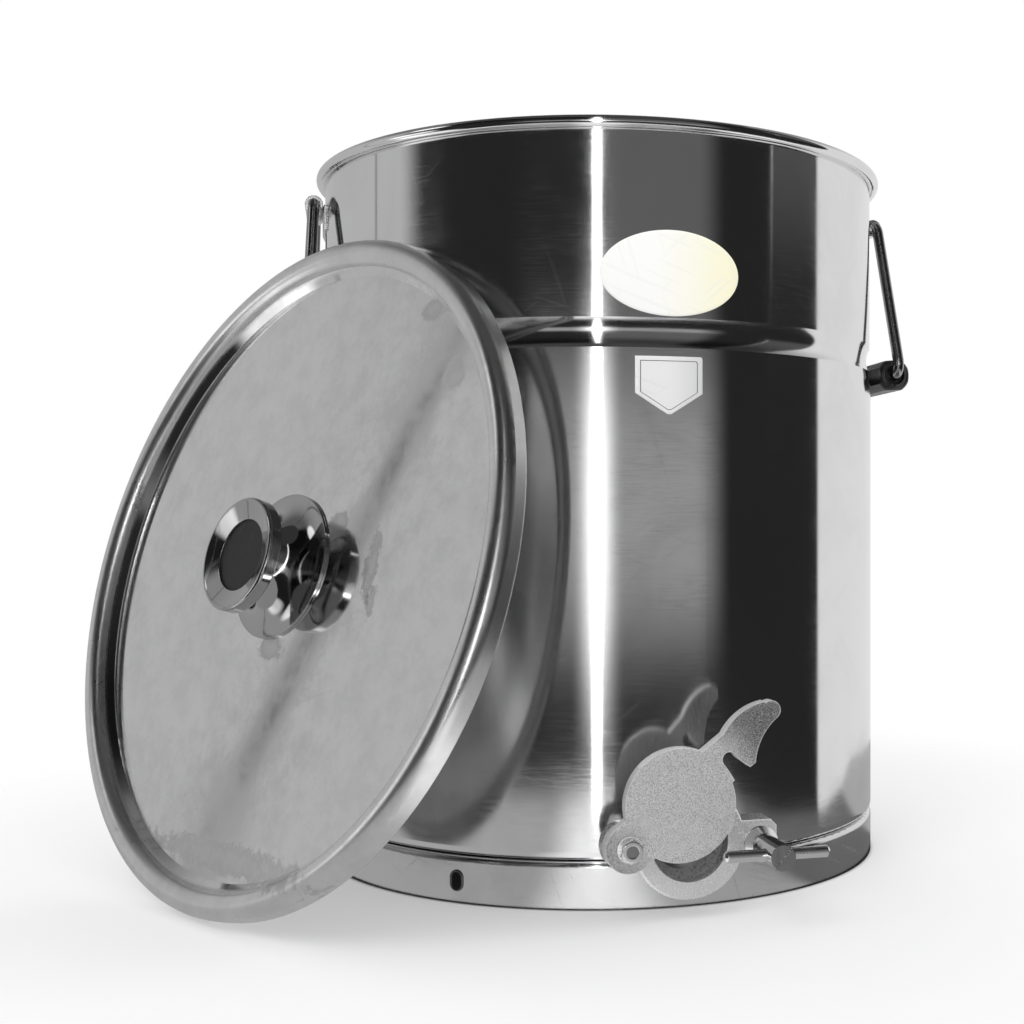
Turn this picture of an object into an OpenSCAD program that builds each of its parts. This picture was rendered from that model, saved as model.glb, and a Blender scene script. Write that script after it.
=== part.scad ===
// Honey settling tank with its lid off: a stainless tank on a skirt, a swing gate with a clamp screw,
// two drop handles, and the lid leaning against the tank's left front.
// The tank's axis is Z, the gate points to -Y, and the floor under the skirt is z = 0.

/* [Tank] */
// Outside diameter of the wall above the swage
tank_d = 320; // [290:1:350]
// Height from the floor to the top of the rolled rim
tank_h = 388; // [360:1:430]
// Thickness of the tank's and the lid's sheet
sheet_t = 1; // [0.8:0.1:1.3]
// Diameter of the rolled rim
rim_roll_d = 6; // [5:0.1:7]
// How far the wall below the swage stands out past the wall above it
wall_step = 0.6; // [0.2:0.1:0.8]
// Distance of the swage's middle below the top of the rim
swage_drop = 105; // [95:1:120]
// Height of the swage
swage_h = 14; // [10:0.5:18]
// Depth of the swage
swage_depth = 2; // [1:0.1:2.5]

/* [Skirt] */
// Height of the seam between the tank and its skirt
seam_z = 23.2; // [20:0.1:24]
// Outer radius of the tank's turned-in lower edge
tank_edge_r = 5; // [4:0.1:6]
// Outer radius of the skirt's turned-in upper edge
skirt_edge_r = 3; // [2:0.1:4]
// Width of the flat lips that meet at the seam
seam_lip = 3; // [2:0.1:4]
// Thickness of the skirt
skirt_t = 1.5; // [1.2:0.1:1.8]
// Width of the vent hole
vent_w = 6.5; // [4:0.1:9]
// Height of the vent hole
vent_h = 9.5; // [9:0.1:12]
// Height of the vent hole's middle
vent_z = 11; // [9:0.5:12]
// Angle of the vent hole round to the left of the gate
vent_angle = 39.5; // [30:0.5:60]

/* [Gate body] */
// Height of the gate's axis
gate_z = 37.5; // [36:0.5:42]
// Bore of the spigot that is welded into the wall
spigot_bore = 30; // [26:0.5:31]
// Wall of the spigot
spigot_t = 2; // [1.5:0.1:3]
// How far the gate's seat stands out from the tank's wall
gate_reach = 27; // [24:0.5:32]
// How far the spigot's end stands out from the tank's wall
spigot_reach = 15; // [12:0.5:16]
// Bore of the gate's mouth
mouth_bore = 38; // [34:0.5:40]
// Outside diameter of the seat ring
ring_d = 55; // [50:0.5:60]
// Thickness of the seat ring
ring_t = 9; // [7:0.5:10]
// Outside diameter of the hub behind the seat ring
hub_d = 45; // [42:0.5:48]
// Distance from the tank's wall to the back of the hub
hub_gap = 5; // [3:0.5:8]
// Chamfer round the seat ring's front
ring_chamfer = 0.8; // [0.4:0.1:1.2]
// Distance of the pivot and of the clamp screw from the gate's axis
lug_offset = 31.5; // [30:0.5:36]
// Radius of the pivot lugs on the body and the blade
pivot_lug_r = 11.5; // [10:0.5:13]
// Thickness of the body's pivot lug
pivot_lug_t = 7; // [5:0.5:8]
// Half the width of the clamp lug
clamp_lug_r = 9; // [8.5:0.5:11]
// Reach of the clamp lug past the clamp screw
clamp_lug_end = 12; // [10:0.5:13]
// Chamfer of the clamp lug's corners
clamp_lug_chamfer = 3; // [2:0.5:5]
// Thickness of the clamp lug
clamp_lug_t = 15; // [12:0.5:18]

/* [Gate blade] */
// Thickness of the blade
blade_t = 6.5; // [5:0.1:8]
// Diameter of the blade's disc
blade_d = 54; // [50:0.5:58]
// Angle at which the blade stands open in the stored pose
blade_open = 37.2; // [20:0.1:45]
// Reach of the blade's handle from the pivot
handle_reach = 98; // [92:0.5:106]
// Height of the handle's back above the line from the pivot to the clamp screw
handle_rise = 16; // [14:0.5:18]
// Radius of the handle's hollow and of its back
handle_curve_r = 30; // [26:0.5:34]
// Radius of the handle's round tip
handle_tip_r = 4.7; // [3.5:0.1:5.5]
// Depth of the hook below the line from the pivot to the clamp screw
hook_drop = 7.5; // [6:0.5:9]
// Width of the hook at its end
hook_w = 2.6; // [2:0.1:3.5]

/* [Pivot] */
// Diameter of the pivot bolt
pivot_d = 6; // [5:0.5:8]
// Width across the flats of the pivot bolt's head and nut
pivot_hex_af = 10; // [9:0.5:13]
// Height of the pivot bolt's head
pivot_head_h = 4; // [3.5:0.5:6]
// Height of the pivot nut
pivot_nut_h = 5; // [4:0.5:7]
// Turn of the pivot nut from having a corner on the right
pivot_nut_turn = 22; // [0:1:60]
// Height of the round face on the pivot nut
pivot_face_h = 0.4; // [0.2:0.1:0.6]
// Depth of the bolt's end inside the pivot nut
pivot_inset = 1; // [0.5:0.1:2]
// Diameter of the pivot washer
pivot_washer_d = 12.5; // [12:0.5:18]
// Thickness of the washers
washer_t = 1.2; // [1:0.1:1.6]

/* [Clamp screw] */
// Diameter of the clamp screw's threaded shank
screw_d = 6; // [5:0.5:7]
// Thread pitch of the clamp screw
screw_pitch = 1; // [0.8:0.05:1.25]
// Turns by which the screw is backed off in the stored pose
screw_backoff_turns = 4; // [2:1:5]
// Length of shank in the clamp lug when the screw is clamped
screw_grip = 13; // [11:0.5:14]
// Diameter of the screw's head
screw_head_d = 12; // [11:0.5:14]
// Length of the screw's head
screw_head_l = 24.5; // [22:0.5:36]
// Diameter of the clamp washer's face
clamp_washer_d = 17; // [14:0.5:19]
// Height of the dished clamp washer
clamp_washer_h = 6; // [4:0.5:8]
// Diameter of the tommy bar
bar_d = 5.5; // [4:0.1:6]
// Length of the tommy bar
bar_l = 51; // [44:0.5:58]
// Distance of the tommy bar from the head's end
bar_inset = 8.3; // [7:0.1:11]
// Width and depth of the slot across the head's end
slot_size = 0.8; // [0.5:0.1:1.2]

/* [Handles] */
// Diameter of the handle wire
wire_d = 6.4; // [5:0.1:7]
// Distance of the handle pivots below the top of the rim
pivot_drop = 20; // [18:0.5:24]
// Distance of the handle pivots from the tank's upper wall
bail_standoff = 6; // [5.8:0.1:7]
// Width of the wire loop at the pivot, corner to corner
bail_top_w = 50; // [46:0.5:56]
// Width of the wire loop at the grip, corner to corner
bail_low_w = 108; // [100:0.5:114]
// Drop of the grip below the pivot
bail_drop = 92; // [84:0.5:96]
// Bend radius of the wire's upper corners
bail_top_bend = 7; // [6:0.5:8]
// Bend radius of the wire's lower corners
bail_low_bend = 6.5; // [5:0.5:8]
// Necking of the wire where it is bent, on the radius
bend_neck = 0.05; // [0.04:0.01:0.06]
// Length of the grip
grip_l = 92; // [84:0.5:94]
// Width of the grip across its flats
grip_w = 17.5; // [15:0.5:19]
// Width of the grip across its rounded corners
grip_d = 20; // [18:0.5:22]
// Rounding of the grip's ends
grip_end_r = 4; // [2:0.5:5]
// Diameter of the recess where the wire enters the grip
grip_recess_d = 11.5; // [10:0.5:12]
// Depth of that recess
grip_recess = 4; // [3:0.5:6]
// Outside diameter of the hinge strap's loop
strap_d = 10; // [9.6:0.1:11]
// Length of the hinge strap
strap_l = 38; // [32:0.5:38.5]
// Thickness of the hinge strap's plate
strap_t = 1.5; // [1.2:0.1:2]
// Reach of the hinge strap's plate below the pivot
strap_drop = 14; // [10:0.5:20]
// Angle of the handles round toward the gate, from square to it on the right
handle_turn = 3.5; // [0:0.5:6]

/* [Lid] */
// How far the lid's skirt stands out past the tank's wall
lid_over = 12; // [11.5:0.1:13]
// Outer radius of the lid's raised rim in section
lid_roll_r = 6.8; // [6:0.1:7]
// Height of the raised rim's section centre above the lid's disc
lid_roll_z = 3.7; // [3:0.1:5]
// How far the edge of the lid's flat disc lies inside the tank's wall
lid_disc_inset = 4.5; // [4:0.1:7]
// Depth of the lid's skirt below its disc
lid_skirt = 3.4; // [3:0.1:4]
// Diameter of the hem at the lid's lower edge
lid_hem_d = 2.4; // [2:0.1:3]
// Angle that the leaning lid faces, round to the left of the gate
lid_turn = 58.4; // [56:0.1:62]
// Lean of the lid back from upright
lid_lean = 15.3; // [14:0.1:18]
// Distance of the lid's centre to the left of the line from the tank's axis along the way it faces
lid_side = 13.5; // [11:0.5:18]

/* [Knob] */
// Radius of the knob's foot
knob_foot_r = 37; // [34:0.5:40]
// Edge of the knob's foot
knob_foot_t = 1.5; // [1:0.1:2]
// Radius of the knob's neck
knob_neck_r = 14; // [12:0.5:16]
// Height of the underside of the knob's head
knob_head_z = 20.5; // [20:0.5:22]
// Radius of the knob's head
knob_head_r = 28.5; // [26:0.5:32]
// Rounding of the head's front edge
knob_edge_r = 1.5; // [1:0.1:2.5]
// Thickness of the head at its edge
knob_head_t = 6.5; // [6:0.5:8]
// Fall of the head's dished face from its edge to the recess
knob_dish = 2.9; // [2:0.1:3.5]
// Radius of the recess in the head's face
knob_recess_r = 18; // [16:0.5:20]
// Depth of that recess
knob_recess = 2.2; // [2:0.1:2.6]
// Thickness of the plug in the recess
plug_t = 1.2; // [1:0.1:1.5]
// Diameter of the knob's screw
knob_screw_d = 6; // [5:0.5:8]
// Diameter of the knob screw's head
knob_screw_head_d = 11; // [10:0.5:13]
// Height of the knob screw's head
knob_screw_head_h = 4; // [3:0.5:5]
// Length of the knob's screw in the knob
knob_screw_l = 12; // [10:0.5:14]
// Diameter of the washer under the knob screw's head
knob_washer_d = 18; // [15:0.5:22]

/* [Fits] */
// Running clearance of a shaft in its hole, on the radius
run_gap = 0.08; // [0.05:0.01:0.1]
// Gap between faces that slide past each other
slide_gap = 0.3; // [0.2:0.05:0.5]
// Gap between pieces that rest on each other
rest_gap = 0.4; // [0.35:0.05:0.6]
// Gap between the leaning lid and the left handle
lean_gap = 0.65; // [0.6:0.05:0.7]
// Gap round a piece that passes through a hole
free_gap = 0.5; // [0.4:0.05:0.6]

/* [Hidden] */
$fn = 96;
overrun = 1;
overlap = 0.5;
hex_sides = 6;
// Shares that shape the blade's handle, its slot and the tommy bar's ends
tip_share = 0.29;
tip_drop_share = 0.15;
shoulder_share = 0.84;
hollow_shares = [0.7, 0.91];
slot_stop_share = 4;
nose_share = 0.45;
steel = [0.78, 0.79, 0.80];
polished = [0.86, 0.87, 0.88];
cast = [0.66, 0.67, 0.68];
black = [0.07, 0.07, 0.08];

// The tank
upper_r = tank_d / 2;
lower_r = upper_r + wall_step;
swage_z = tank_h - swage_drop;
swage_r = (pow(swage_h / 2, 2) + pow(swage_depth, 2)) / (2 * swage_depth);
rim_z = tank_h - rim_roll_d / 2;
rim_r = upper_r - sheet_t + rim_roll_d / 2;
floor_r = lower_r - tank_edge_r - seam_lip;

// The gate, along its own axis from the tank's axis outward
spigot_r = spigot_bore / 2 + spigot_t;
seat = lower_r + gate_reach;
spigot_end = lower_r + spigot_reach;
ring_back = seat - ring_t;
hub_back = lower_r + hub_gap;
blade_back = seat + slide_gap;
blade_front = blade_back + blade_t;
pivot_washer_z = blade_front + slide_gap;
pivot_nut_z = pivot_washer_z + washer_t;
pivot_end = pivot_nut_z + pivot_nut_h - pivot_inset;
pivot_face_share = 0.95;
screw_reach = 2 * lug_offset;
slot_r = screw_d / 2 + free_gap;
backoff = screw_backoff_turns * screw_pitch;
clamp_face = blade_front + slide_gap + backoff;
head_back = clamp_face + clamp_washer_h;
head_end = head_back + screw_head_l;
bar_at = head_end - bar_inset;
shank_end = seat + backoff - screw_grip;

// The handles, at rest against the wall
bail_z = tank_h - pivot_drop;
bail_r = upper_r + bail_standoff;
grip_rest_r = lower_r + rest_gap + grip_w / 2;
bail_swing = asin((grip_rest_r - bail_r) / bail_drop);

// The lid, standing on the floor and leaning on the wall, on the rim of a tank lower than itself, or on the
// left handle, whichever it meets first
lid_r = upper_r + lid_over;
lid_disc_r = upper_r - lid_disc_inset;
lid_height = rest_gap + lid_skirt * sin(lid_lean) + lid_r * cos(lid_lean);
hem_back = lid_skirt / cos(lid_lean);
disc_back = sheet_t / cos(lid_lean);
hem_r = lid_r - lid_hem_d / 2;
hem_drop = lid_skirt - lid_hem_d / 2;
hem_reach = rim_roll_d / 2 + lid_hem_d / 2 + rest_gap;
hem_step = 0.5;
hem_lean = max([for (angle = [-90 : hem_step : 90]) let (up = hem_r * cos(angle))
    tank_lean(lid_side - hem_r * sin(angle), lid_height + up * cos(lid_lean) - hem_drop * sin(lid_lean))
        + up * sin(lid_lean) + hem_drop * cos(lid_lean)]);
rim_up = (rim_z - lid_height) / cos(lid_lean);
rim_lean = rim_up > lid_disc_r + rim_roll_d ? 0
    : rim_r + rim_up * sin(lid_lean) + (rim_roll_d / 2 + rest_gap) / cos(lid_lean) + disc_back;
handle_angle = 90 - lid_turn + handle_turn;
leg_steps = 50;
leg_spread = (bail_low_w - bail_top_w) / 2;
leg_lean = max([for (i = [0 : leg_steps]) let (drop = bail_drop * i / leg_steps)
    handle_lean(bail_r + drop * sin(bail_swing), bail_top_w / 2 + leg_spread * i / leg_steps,
        bail_z - drop * cos(bail_swing), wire_d / 2)]);
grip_lean = handle_lean(grip_rest_r, grip_l / 2, bail_z - bail_drop * cos(bail_swing), grip_d / 2);
lid_out = max(leg_lean, grip_lean, hem_lean, rim_lean);

// How far out the hem's middle has to stand to clear the wall and the rim, by its side and its height
function tank_lean(side, up) =
    let (over = abs(up - rim_z), wall = up < rim_z ? upper_r + lid_hem_d / 2 + rest_gap : 0,
        rim = over < hem_reach ? rim_r + sqrt(pow(hem_reach, 2) - pow(over, 2)) : 0)
    sqrt(max(0, pow(max(wall, rim), 2) - pow(side, 2)));

// How far out the lid has to stand to clear a round piece of the left handle, whose centre lies out from the
// tank's axis, along the wall toward the lid and up from the floor: by its hem, by the back of its disc where
// the piece lies inside the hem, or 0 where the lid doesn't reach it
function handle_lean(out, along, up, radius) =
    let (reach = norm([along * cos(handle_angle) - out * sin(handle_angle) + lid_side,
        (up - lid_height) / cos(lid_lean)]))
    reach > lid_r + radius ? 0
    : out * cos(handle_angle) + along * sin(handle_angle) + (up - lid_height) * tan(lid_lean)
        + radius / cos(lid_lean) + (reach > lid_r - lid_hem_d - radius ? hem_back : disc_back) + lean_gap;

lid_roll_centre = lid_r - lid_roll_r;
lid_wall_r = lid_roll_centre - lid_roll_r;
flare_r = knob_foot_r - knob_neck_r;
knob_top_z = knob_head_z + knob_head_t;
knob_face_z = knob_top_z - knob_dish;
plug_z = knob_face_z - knob_recess;

// Places a child whose axis is Z on the gate's axis, with Z pointing out of the tank
module at_gate() {
    translate([0, 0, gate_z]) rotate([90, 0, 0]) children();
}

// Places a child at a handle, with X pointing out of the tank; half is 0 on the right and 1 on the left
module at_handle(half) {
    rotate([0, 0, half * 180 - handle_turn]) children();
}

// Places a child that hangs from the handle's pivot at the angle at which the grip meets the wall
module at_bail(half) {
    at_handle(half) translate([bail_r, 0, bail_z]) rotate([0, -bail_swing, 0]) children();
}

// Places a child on the leaning lid, with Z pointing out of the lid's face
module at_lid() {
    rotate([0, 0, 270 - lid_turn]) translate([lid_out, -lid_side, lid_height])
        rotate([0, 90 - lid_lean, 0]) children();
}

// A plain tube or ring along Z
module tube(outer_r, inner_r, length) {
    difference() {
        cylinder(r = outer_r, h = length);
        translate([0, 0, -overrun]) cylinder(r = inner_r, h = length + 2 * overrun);
    }
}

// A hexagon prism by its width across the flats
module hex_prism(across_flats, height) {
    cylinder(d = across_flats / cos(180 / hex_sides), h = height, $fn = hex_sides);
}

// Half of the tank's section, solid to the axis, with its surface moved in by inset
module tank_section(inset) {
    difference() {
        union() {
            translate([0, swage_z]) square([upper_r - inset, rim_z - swage_z]);
            translate([0, seam_z + tank_edge_r])
                square([lower_r - inset, swage_z - seam_z - tank_edge_r]);
            translate([0, seam_z + inset])
                square([lower_r - tank_edge_r, tank_edge_r]);
            translate([lower_r - tank_edge_r, seam_z + tank_edge_r]) circle(tank_edge_r - inset);
        }
        translate([upper_r - swage_depth + swage_r, swage_z]) circle(swage_r + inset);
    }
}

// The hole that the spigot is welded into
module spigot_hole() {
    at_gate() cylinder(r = spigot_r, h = seat);
}

module tank_shell() {
    color(polished) difference() {
        rotate_extrude() union() {
            difference() {
                tank_section(0);
                tank_section(sheet_t);
                square([floor_r, swage_z]);
                translate([0, swage_z]) square([upper_r - 2 * swage_depth - sheet_t, tank_h]);
            }
            translate([rim_r, rim_z]) circle(d = rim_roll_d);
        }
        spigot_hole();
    }
}

module tank_floor() {
    color(steel) translate([0, 0, seam_z]) cylinder(r = floor_r, h = sheet_t);
}

module base_ring() {
    color(steel) difference() {
        rotate_extrude() difference() {
            union() {
                square([lower_r, seam_z - skirt_edge_r]);
                square([lower_r - skirt_edge_r, seam_z]);
                translate([lower_r - skirt_edge_r, seam_z - skirt_edge_r]) circle(skirt_edge_r);
            }
            square([floor_r, seam_z]);
            square([lower_r - skirt_t, seam_z - skirt_edge_r]);
            square([lower_r - skirt_edge_r, seam_z - skirt_t]);
            translate([lower_r - skirt_edge_r, seam_z - skirt_edge_r]) circle(skirt_edge_r - skirt_t);
        }
        spigot_hole();
        rotate([0, 0, -vent_angle]) translate([0, 0, vent_z]) rotate([90, 0, 0])
            linear_extrude(tank_d) vent_outline();
    }
}

// The vent hole is a short upright slot
module vent_outline() {
    straight = vent_h - vent_w;
    square([vent_w, straight], center = true);
    for (end = [-1, 1]) translate([0, end * straight / 2]) circle(d = vent_w);
}

module gate_spigot() {
    color(steel) difference() {
        at_gate() difference() {
            translate([0, 0, upper_r / 2]) cylinder(r = spigot_r, h = spigot_end - upper_r / 2);
            cylinder(d = spigot_bore, h = seat);
        }
        cylinder(r = lower_r - sheet_t, h = swage_z);
    }
}

// Section of the gate body round its axis: hub, cone and seat ring with a flared bore
module gate_section() {
    cone_end = spigot_end + (mouth_bore - spigot_bore) / 2;
    polygon([
        [spigot_r, hub_back], [hub_d / 2, hub_back], [hub_d / 2, ring_back - (ring_d - hub_d) / 2],
        [ring_d / 2, ring_back], [ring_d / 2, seat - ring_chamfer], [ring_d / 2 - ring_chamfer, seat],
        [mouth_bore / 2, seat], [mouth_bore / 2, cone_end], [spigot_bore / 2, spigot_end],
        [spigot_r, spigot_end]
    ]);
}

// The round pivot lug's outline, from the gate's axis to its own centre
module pivot_lug_outline() {
    translate([-lug_offset, 0]) circle(pivot_lug_r);
    translate([-lug_offset, -pivot_lug_r]) square([lug_offset, 2 * pivot_lug_r]);
}

// The clamp lug's outline: a block with chamfered corners, from the gate's axis past its own centre
module clamp_lug_outline() {
    flat = clamp_lug_r - clamp_lug_chamfer;
    end = lug_offset + clamp_lug_end;
    polygon([[0, -clamp_lug_r], [end - clamp_lug_chamfer, -clamp_lug_r], [end, -flat], [end, flat],
        [end - clamp_lug_chamfer, clamp_lug_r], [0, clamp_lug_r]]);
}

module gate_body() {
    color(cast) at_gate() difference() {
        union() {
            rotate_extrude() gate_section();
            difference() {
                union() {
                    translate([0, 0, seat - pivot_lug_t]) linear_extrude(pivot_lug_t)
                        pivot_lug_outline();
                    translate([0, 0, seat - clamp_lug_t]) linear_extrude(clamp_lug_t)
                        clamp_lug_outline();
                }
                cylinder(d = hub_d, h = seat + overrun);
            }
        }
        translate([-lug_offset, 0, 0]) cylinder(d = pivot_d, h = seat + overrun);
        translate([lug_offset, 0, 0]) cylinder(r = screw_d / 2 + run_gap, h = seat + overrun);
    }
}

// The blade's handle: a fin with a bowed back, a hollow front and a hook past the slot
module handle_outline() {
    back = [handle_reach - 2 * handle_tip_r - handle_curve_r * tip_share, handle_rise - handle_curve_r];
    tip = [handle_reach - handle_tip_r, handle_rise - 2 * handle_tip_r + handle_tip_r * tip_drop_share];
    difference() {
        union() {
            intersection() {
                translate(back) circle(handle_curve_r);
                translate([screw_reach, -hook_drop])
                    square([tip[0] - screw_reach, handle_rise + hook_drop]);
            }
            translate([lug_offset, 0]) square([back[0] - lug_offset, handle_rise * shoulder_share]);
            translate([lug_offset, -hook_drop]) square([screw_reach - lug_offset, 2 * hook_drop]);
            translate(tip) circle(handle_tip_r);
        }
        translate([handle_reach - handle_tip_r * hollow_shares[0], -handle_curve_r * hollow_shares[1]])
            circle(handle_curve_r);
    }
}

// The slot that closes round the clamp screw: an arc about the pivot, flared where it opens
module slot_outline() {
    stop = free_gap * slot_stop_share;
    mouth = screw_reach + slot_r + hook_w;
    translate([screw_reach, stop]) circle(slot_r);
    intersection() {
        difference() {
            circle(screw_reach + slot_r);
            circle(screw_reach - slot_r);
        }
        translate([0, stop - blade_d]) square([screw_reach + 2 * slot_r, blade_d]);
    }
    polygon([[screw_reach, 0], [screw_reach + slot_r, 0], [mouth, -hook_drop - overrun],
        [screw_reach, -hook_drop - overrun]]);
}

module blade_outline() {
    difference() {
        union() {
            circle(pivot_lug_r);
            translate([0, -pivot_lug_r]) square([pivot_lug_r, 2 * pivot_lug_r]);
            translate([lug_offset, 0]) circle(d = blade_d);
            handle_outline();
        }
        slot_outline();
        circle(pivot_d / 2 + run_gap);
    }
}

module gate_blade() {
    color(steel) at_gate() translate([-lug_offset, 0, blade_back]) rotate([0, 0, blade_open])
        linear_extrude(blade_t) blade_outline();
}

module pivot_bolt() {
    head_top = seat - pivot_lug_t;
    color(polished) at_gate() translate([-lug_offset, 0, 0]) {
        translate([0, 0, head_top - pivot_head_h]) hex_prism(pivot_hex_af, pivot_head_h);
        translate([0, 0, head_top - pivot_head_h / 2])
            cylinder(d = pivot_d, h = pivot_end - head_top + pivot_head_h / 2);
    }
}

module pivot_washer() {
    color(polished) at_gate() translate([-lug_offset, 0, pivot_washer_z])
        tube(pivot_washer_d / 2, pivot_d / 2, washer_t);
}

module pivot_nut() {
    color(polished) at_gate() translate([-lug_offset, 0, pivot_nut_z]) difference() {
        union() {
            rotate([0, 0, pivot_nut_turn]) hex_prism(pivot_hex_af, pivot_nut_h - pivot_face_h);
            cylinder(d = pivot_hex_af * pivot_face_share, h = pivot_nut_h);
        }
        translate([0, 0, -overrun]) cylinder(d = pivot_d, h = pivot_nut_h + 2 * overrun);
    }
}

// The dished washer that presses the blade onto its seat
module clamp_washer() {
    color(polished) at_gate() translate([lug_offset, 0, clamp_face]) rotate_extrude() polygon([
        [screw_d / 2 + run_gap, 0], [clamp_washer_d / 2, 0], [clamp_washer_d / 2, washer_t],
        [screw_head_d / 2, clamp_washer_h - run_gap], [screw_d / 2 + run_gap, clamp_washer_h - run_gap]
    ]);
}

module clamp_screw() {
    color(polished) at_gate() translate([lug_offset, 0, 0]) difference() {
        union() {
            translate([0, 0, shank_end]) cylinder(d = screw_d, h = head_end - shank_end);
            translate([0, 0, head_back]) cylinder(d = screw_head_d, h = screw_head_l);
        }
        translate([0, 0, bar_at]) rotate([0, 90, 0])
            cylinder(d = bar_d, h = 2 * screw_head_d, center = true);
        translate([0, 0, head_end]) rotate([0, 0, 45])
            cube([2 * screw_head_d, slot_size, 2 * slot_size], center = true);
    }
}

// The tommy bar has round-nosed ends
module tommy_bar() {
    nose = bar_d / 2 * nose_share;
    half_l = bar_l / 2;
    color(polished) at_gate() translate([lug_offset, 0, bar_at]) rotate([0, 90, 0]) rotate_extrude()
        polygon([[0, -half_l], [bar_d / 2 - nose, -half_l], [bar_d / 2, nose - half_l],
            [bar_d / 2, half_l - nose], [bar_d / 2 - nose, half_l], [0, half_l]]);
}

// A strap that is welded to the wall and loops round the handle wire
module bracket(half) {
    color(steel) at_handle(half) difference() {
        union() {
            translate([bail_r, strap_l / 2, bail_z]) rotate([90, 0, 0]) cylinder(d = strap_d, h = strap_l);
            intersection() {
                translate([0, 0, bail_z - strap_drop]) cylinder(r = upper_r + strap_t, h = strap_drop);
                translate([0, -strap_l / 2, bail_z - strap_drop]) cube([bail_r, strap_l, strap_drop]);
            }
        }
        cylinder(r = upper_r, h = tank_h);
        translate([bail_r, strap_l, bail_z]) rotate([90, 0, 0])
            cylinder(r = wire_d / 2 + run_gap, h = 2 * strap_l);
    }
}
module bracket_right() { bracket(0); }
module bracket_left() { bracket(1); }

// A round wire through flat points [y, z], closed, with a bend radius at each corner; a straight run reaches
// a little way into the bends at its ends, which are necked, so that it covers their faces
module wire_loop(points, bends, wire_r, neck) {
    count = len(points);
    for (i = [0 : count - 1]) {
        before = points[(i + count - 1) % count];
        here = points[i];
        after = points[(i + 1) % count];
        past = points[(i + 2) % count];
        run_in = (here - before) / norm(here - before);
        run_out = (after - here) / norm(after - here);
        run_past = (past - after) / norm(past - after);
        turn = acos(run_in * run_out);
        cut = bends[i] * tan(turn / 2);
        next_cut = bends[(i + 1) % count] * tan(acos(run_out * run_past) / 2);
        start = here + run_out * (cut - overlap);
        // The straight run to the next corner
        translate([0, start[0], start[1]]) rotate([atan2(run_out[1], run_out[0]) - 90, 0, 0])
            cylinder(r = wire_r, h = norm(after - here) - cut - next_cut + 2 * overlap);
        // The bend at this corner, which turns to the right
        inward = [run_in[1], -run_in[0]];
        middle = here - run_in * cut + inward * bends[i];
        translate([0, middle[0], middle[1]]) rotate([90, 0, 90])
            rotate([0, 0, atan2(-inward[1], -inward[0]) - turn])
                rotate_extrude(angle = turn) translate([bends[i], 0]) circle(wire_r - neck);
    }
}

module bail(half) {
    color(polished) at_bail(half) wire_loop(
        [[-bail_top_w / 2, 0], [bail_top_w / 2, 0], [bail_low_w / 2, -bail_drop], [-bail_low_w / 2, -bail_drop]],
        [bail_top_bend, bail_top_bend, bail_low_bend, bail_low_bend], wire_d / 2, bend_neck);
}
module bail_right() { bail(0); }
module bail_left() { bail(1); }

// A grip with flats and round ends, moulded on the wire
module grip(half) {
    half_l = grip_l / 2;
    color(black) at_bail(half) translate([0, 0, -bail_drop]) rotate([90, 0, 0]) difference() {
        intersection() {
            cube([grip_w, grip_w, grip_l], center = true);
            rotate_extrude() union() {
                translate([0, -half_l]) square([grip_d / 2 - grip_end_r, grip_l]);
                translate([0, grip_end_r - half_l]) square([grip_d / 2, grip_l - 2 * grip_end_r]);
                for (end = [-1, 1])
                    translate([grip_d / 2 - grip_end_r, end * (half_l - grip_end_r)]) circle(grip_end_r);
            }
        }
        cylinder(d = wire_d, h = grip_l + 2 * overrun, center = true);
        for (end = [-1, 1]) translate([0, 0, end * half_l])
            cylinder(d = grip_recess_d, h = 2 * grip_recess, center = true);
    }
}
module grip_right() { grip(0); }
module grip_left() { grip(1); }

// The lid's pan: a dropped disc inside a raised rim that goes over the tank's rim
module lid_pan() {
    color(polished) at_lid() difference() {
        rotate_extrude() union() {
            translate([0, -sheet_t]) square([lid_disc_r, sheet_t]);
            polygon([[lid_disc_r - sheet_t, 0], [lid_disc_r - sheet_t, -sheet_t],
                [lid_disc_r + sheet_t / 2, -sheet_t], [lid_wall_r + sheet_t, lid_roll_z],
                [lid_wall_r, lid_roll_z]]);
            intersection() {
                translate([lid_roll_centre, lid_roll_z]) difference() {
                    circle(lid_roll_r);
                    circle(lid_roll_r - sheet_t);
                }
                translate([0, lid_roll_z]) square([lid_r, lid_roll_r]);
            }
            translate([lid_r - sheet_t, lid_hem_d / 2 - lid_skirt])
                square([sheet_t, lid_roll_z + lid_skirt - lid_hem_d / 2]);
            translate([lid_r - lid_hem_d / 2, lid_hem_d / 2 - lid_skirt]) circle(d = lid_hem_d);
        }
        translate([0, 0, -sheet_t - overrun]) cylinder(d = knob_screw_d, h = sheet_t + 2 * overrun);
    }
}

// The turned knob: a flared foot, a neck and a head with a dished and recessed face
module lid_knob() {
    color(polished) at_lid() difference() {
        rotate_extrude() difference() {
            union() {
                difference() {
                    square([knob_foot_r, knob_head_z]);
                    translate([knob_foot_r, knob_foot_t + flare_r]) circle(flare_r);
                }
                square([knob_neck_r, knob_face_z]);
                polygon([[0, knob_head_z], [knob_head_r, knob_head_z],
                    [knob_head_r, knob_top_z - knob_edge_r], [knob_head_r - knob_edge_r, knob_top_z],
                    [knob_recess_r, knob_face_z], [0, knob_face_z]]);
                translate([knob_head_r - knob_edge_r, knob_top_z - knob_edge_r]) circle(knob_edge_r);
            }
            translate([0, plug_z]) square([knob_recess_r, knob_recess + overrun]);
        }
        translate([0, 0, -overrun]) cylinder(d = knob_screw_d, h = knob_screw_l + overrun);
    }
}

module knob_plug() {
    color(black) at_lid() translate([0, 0, plug_z]) cylinder(r = knob_recess_r, h = plug_t);
}

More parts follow.
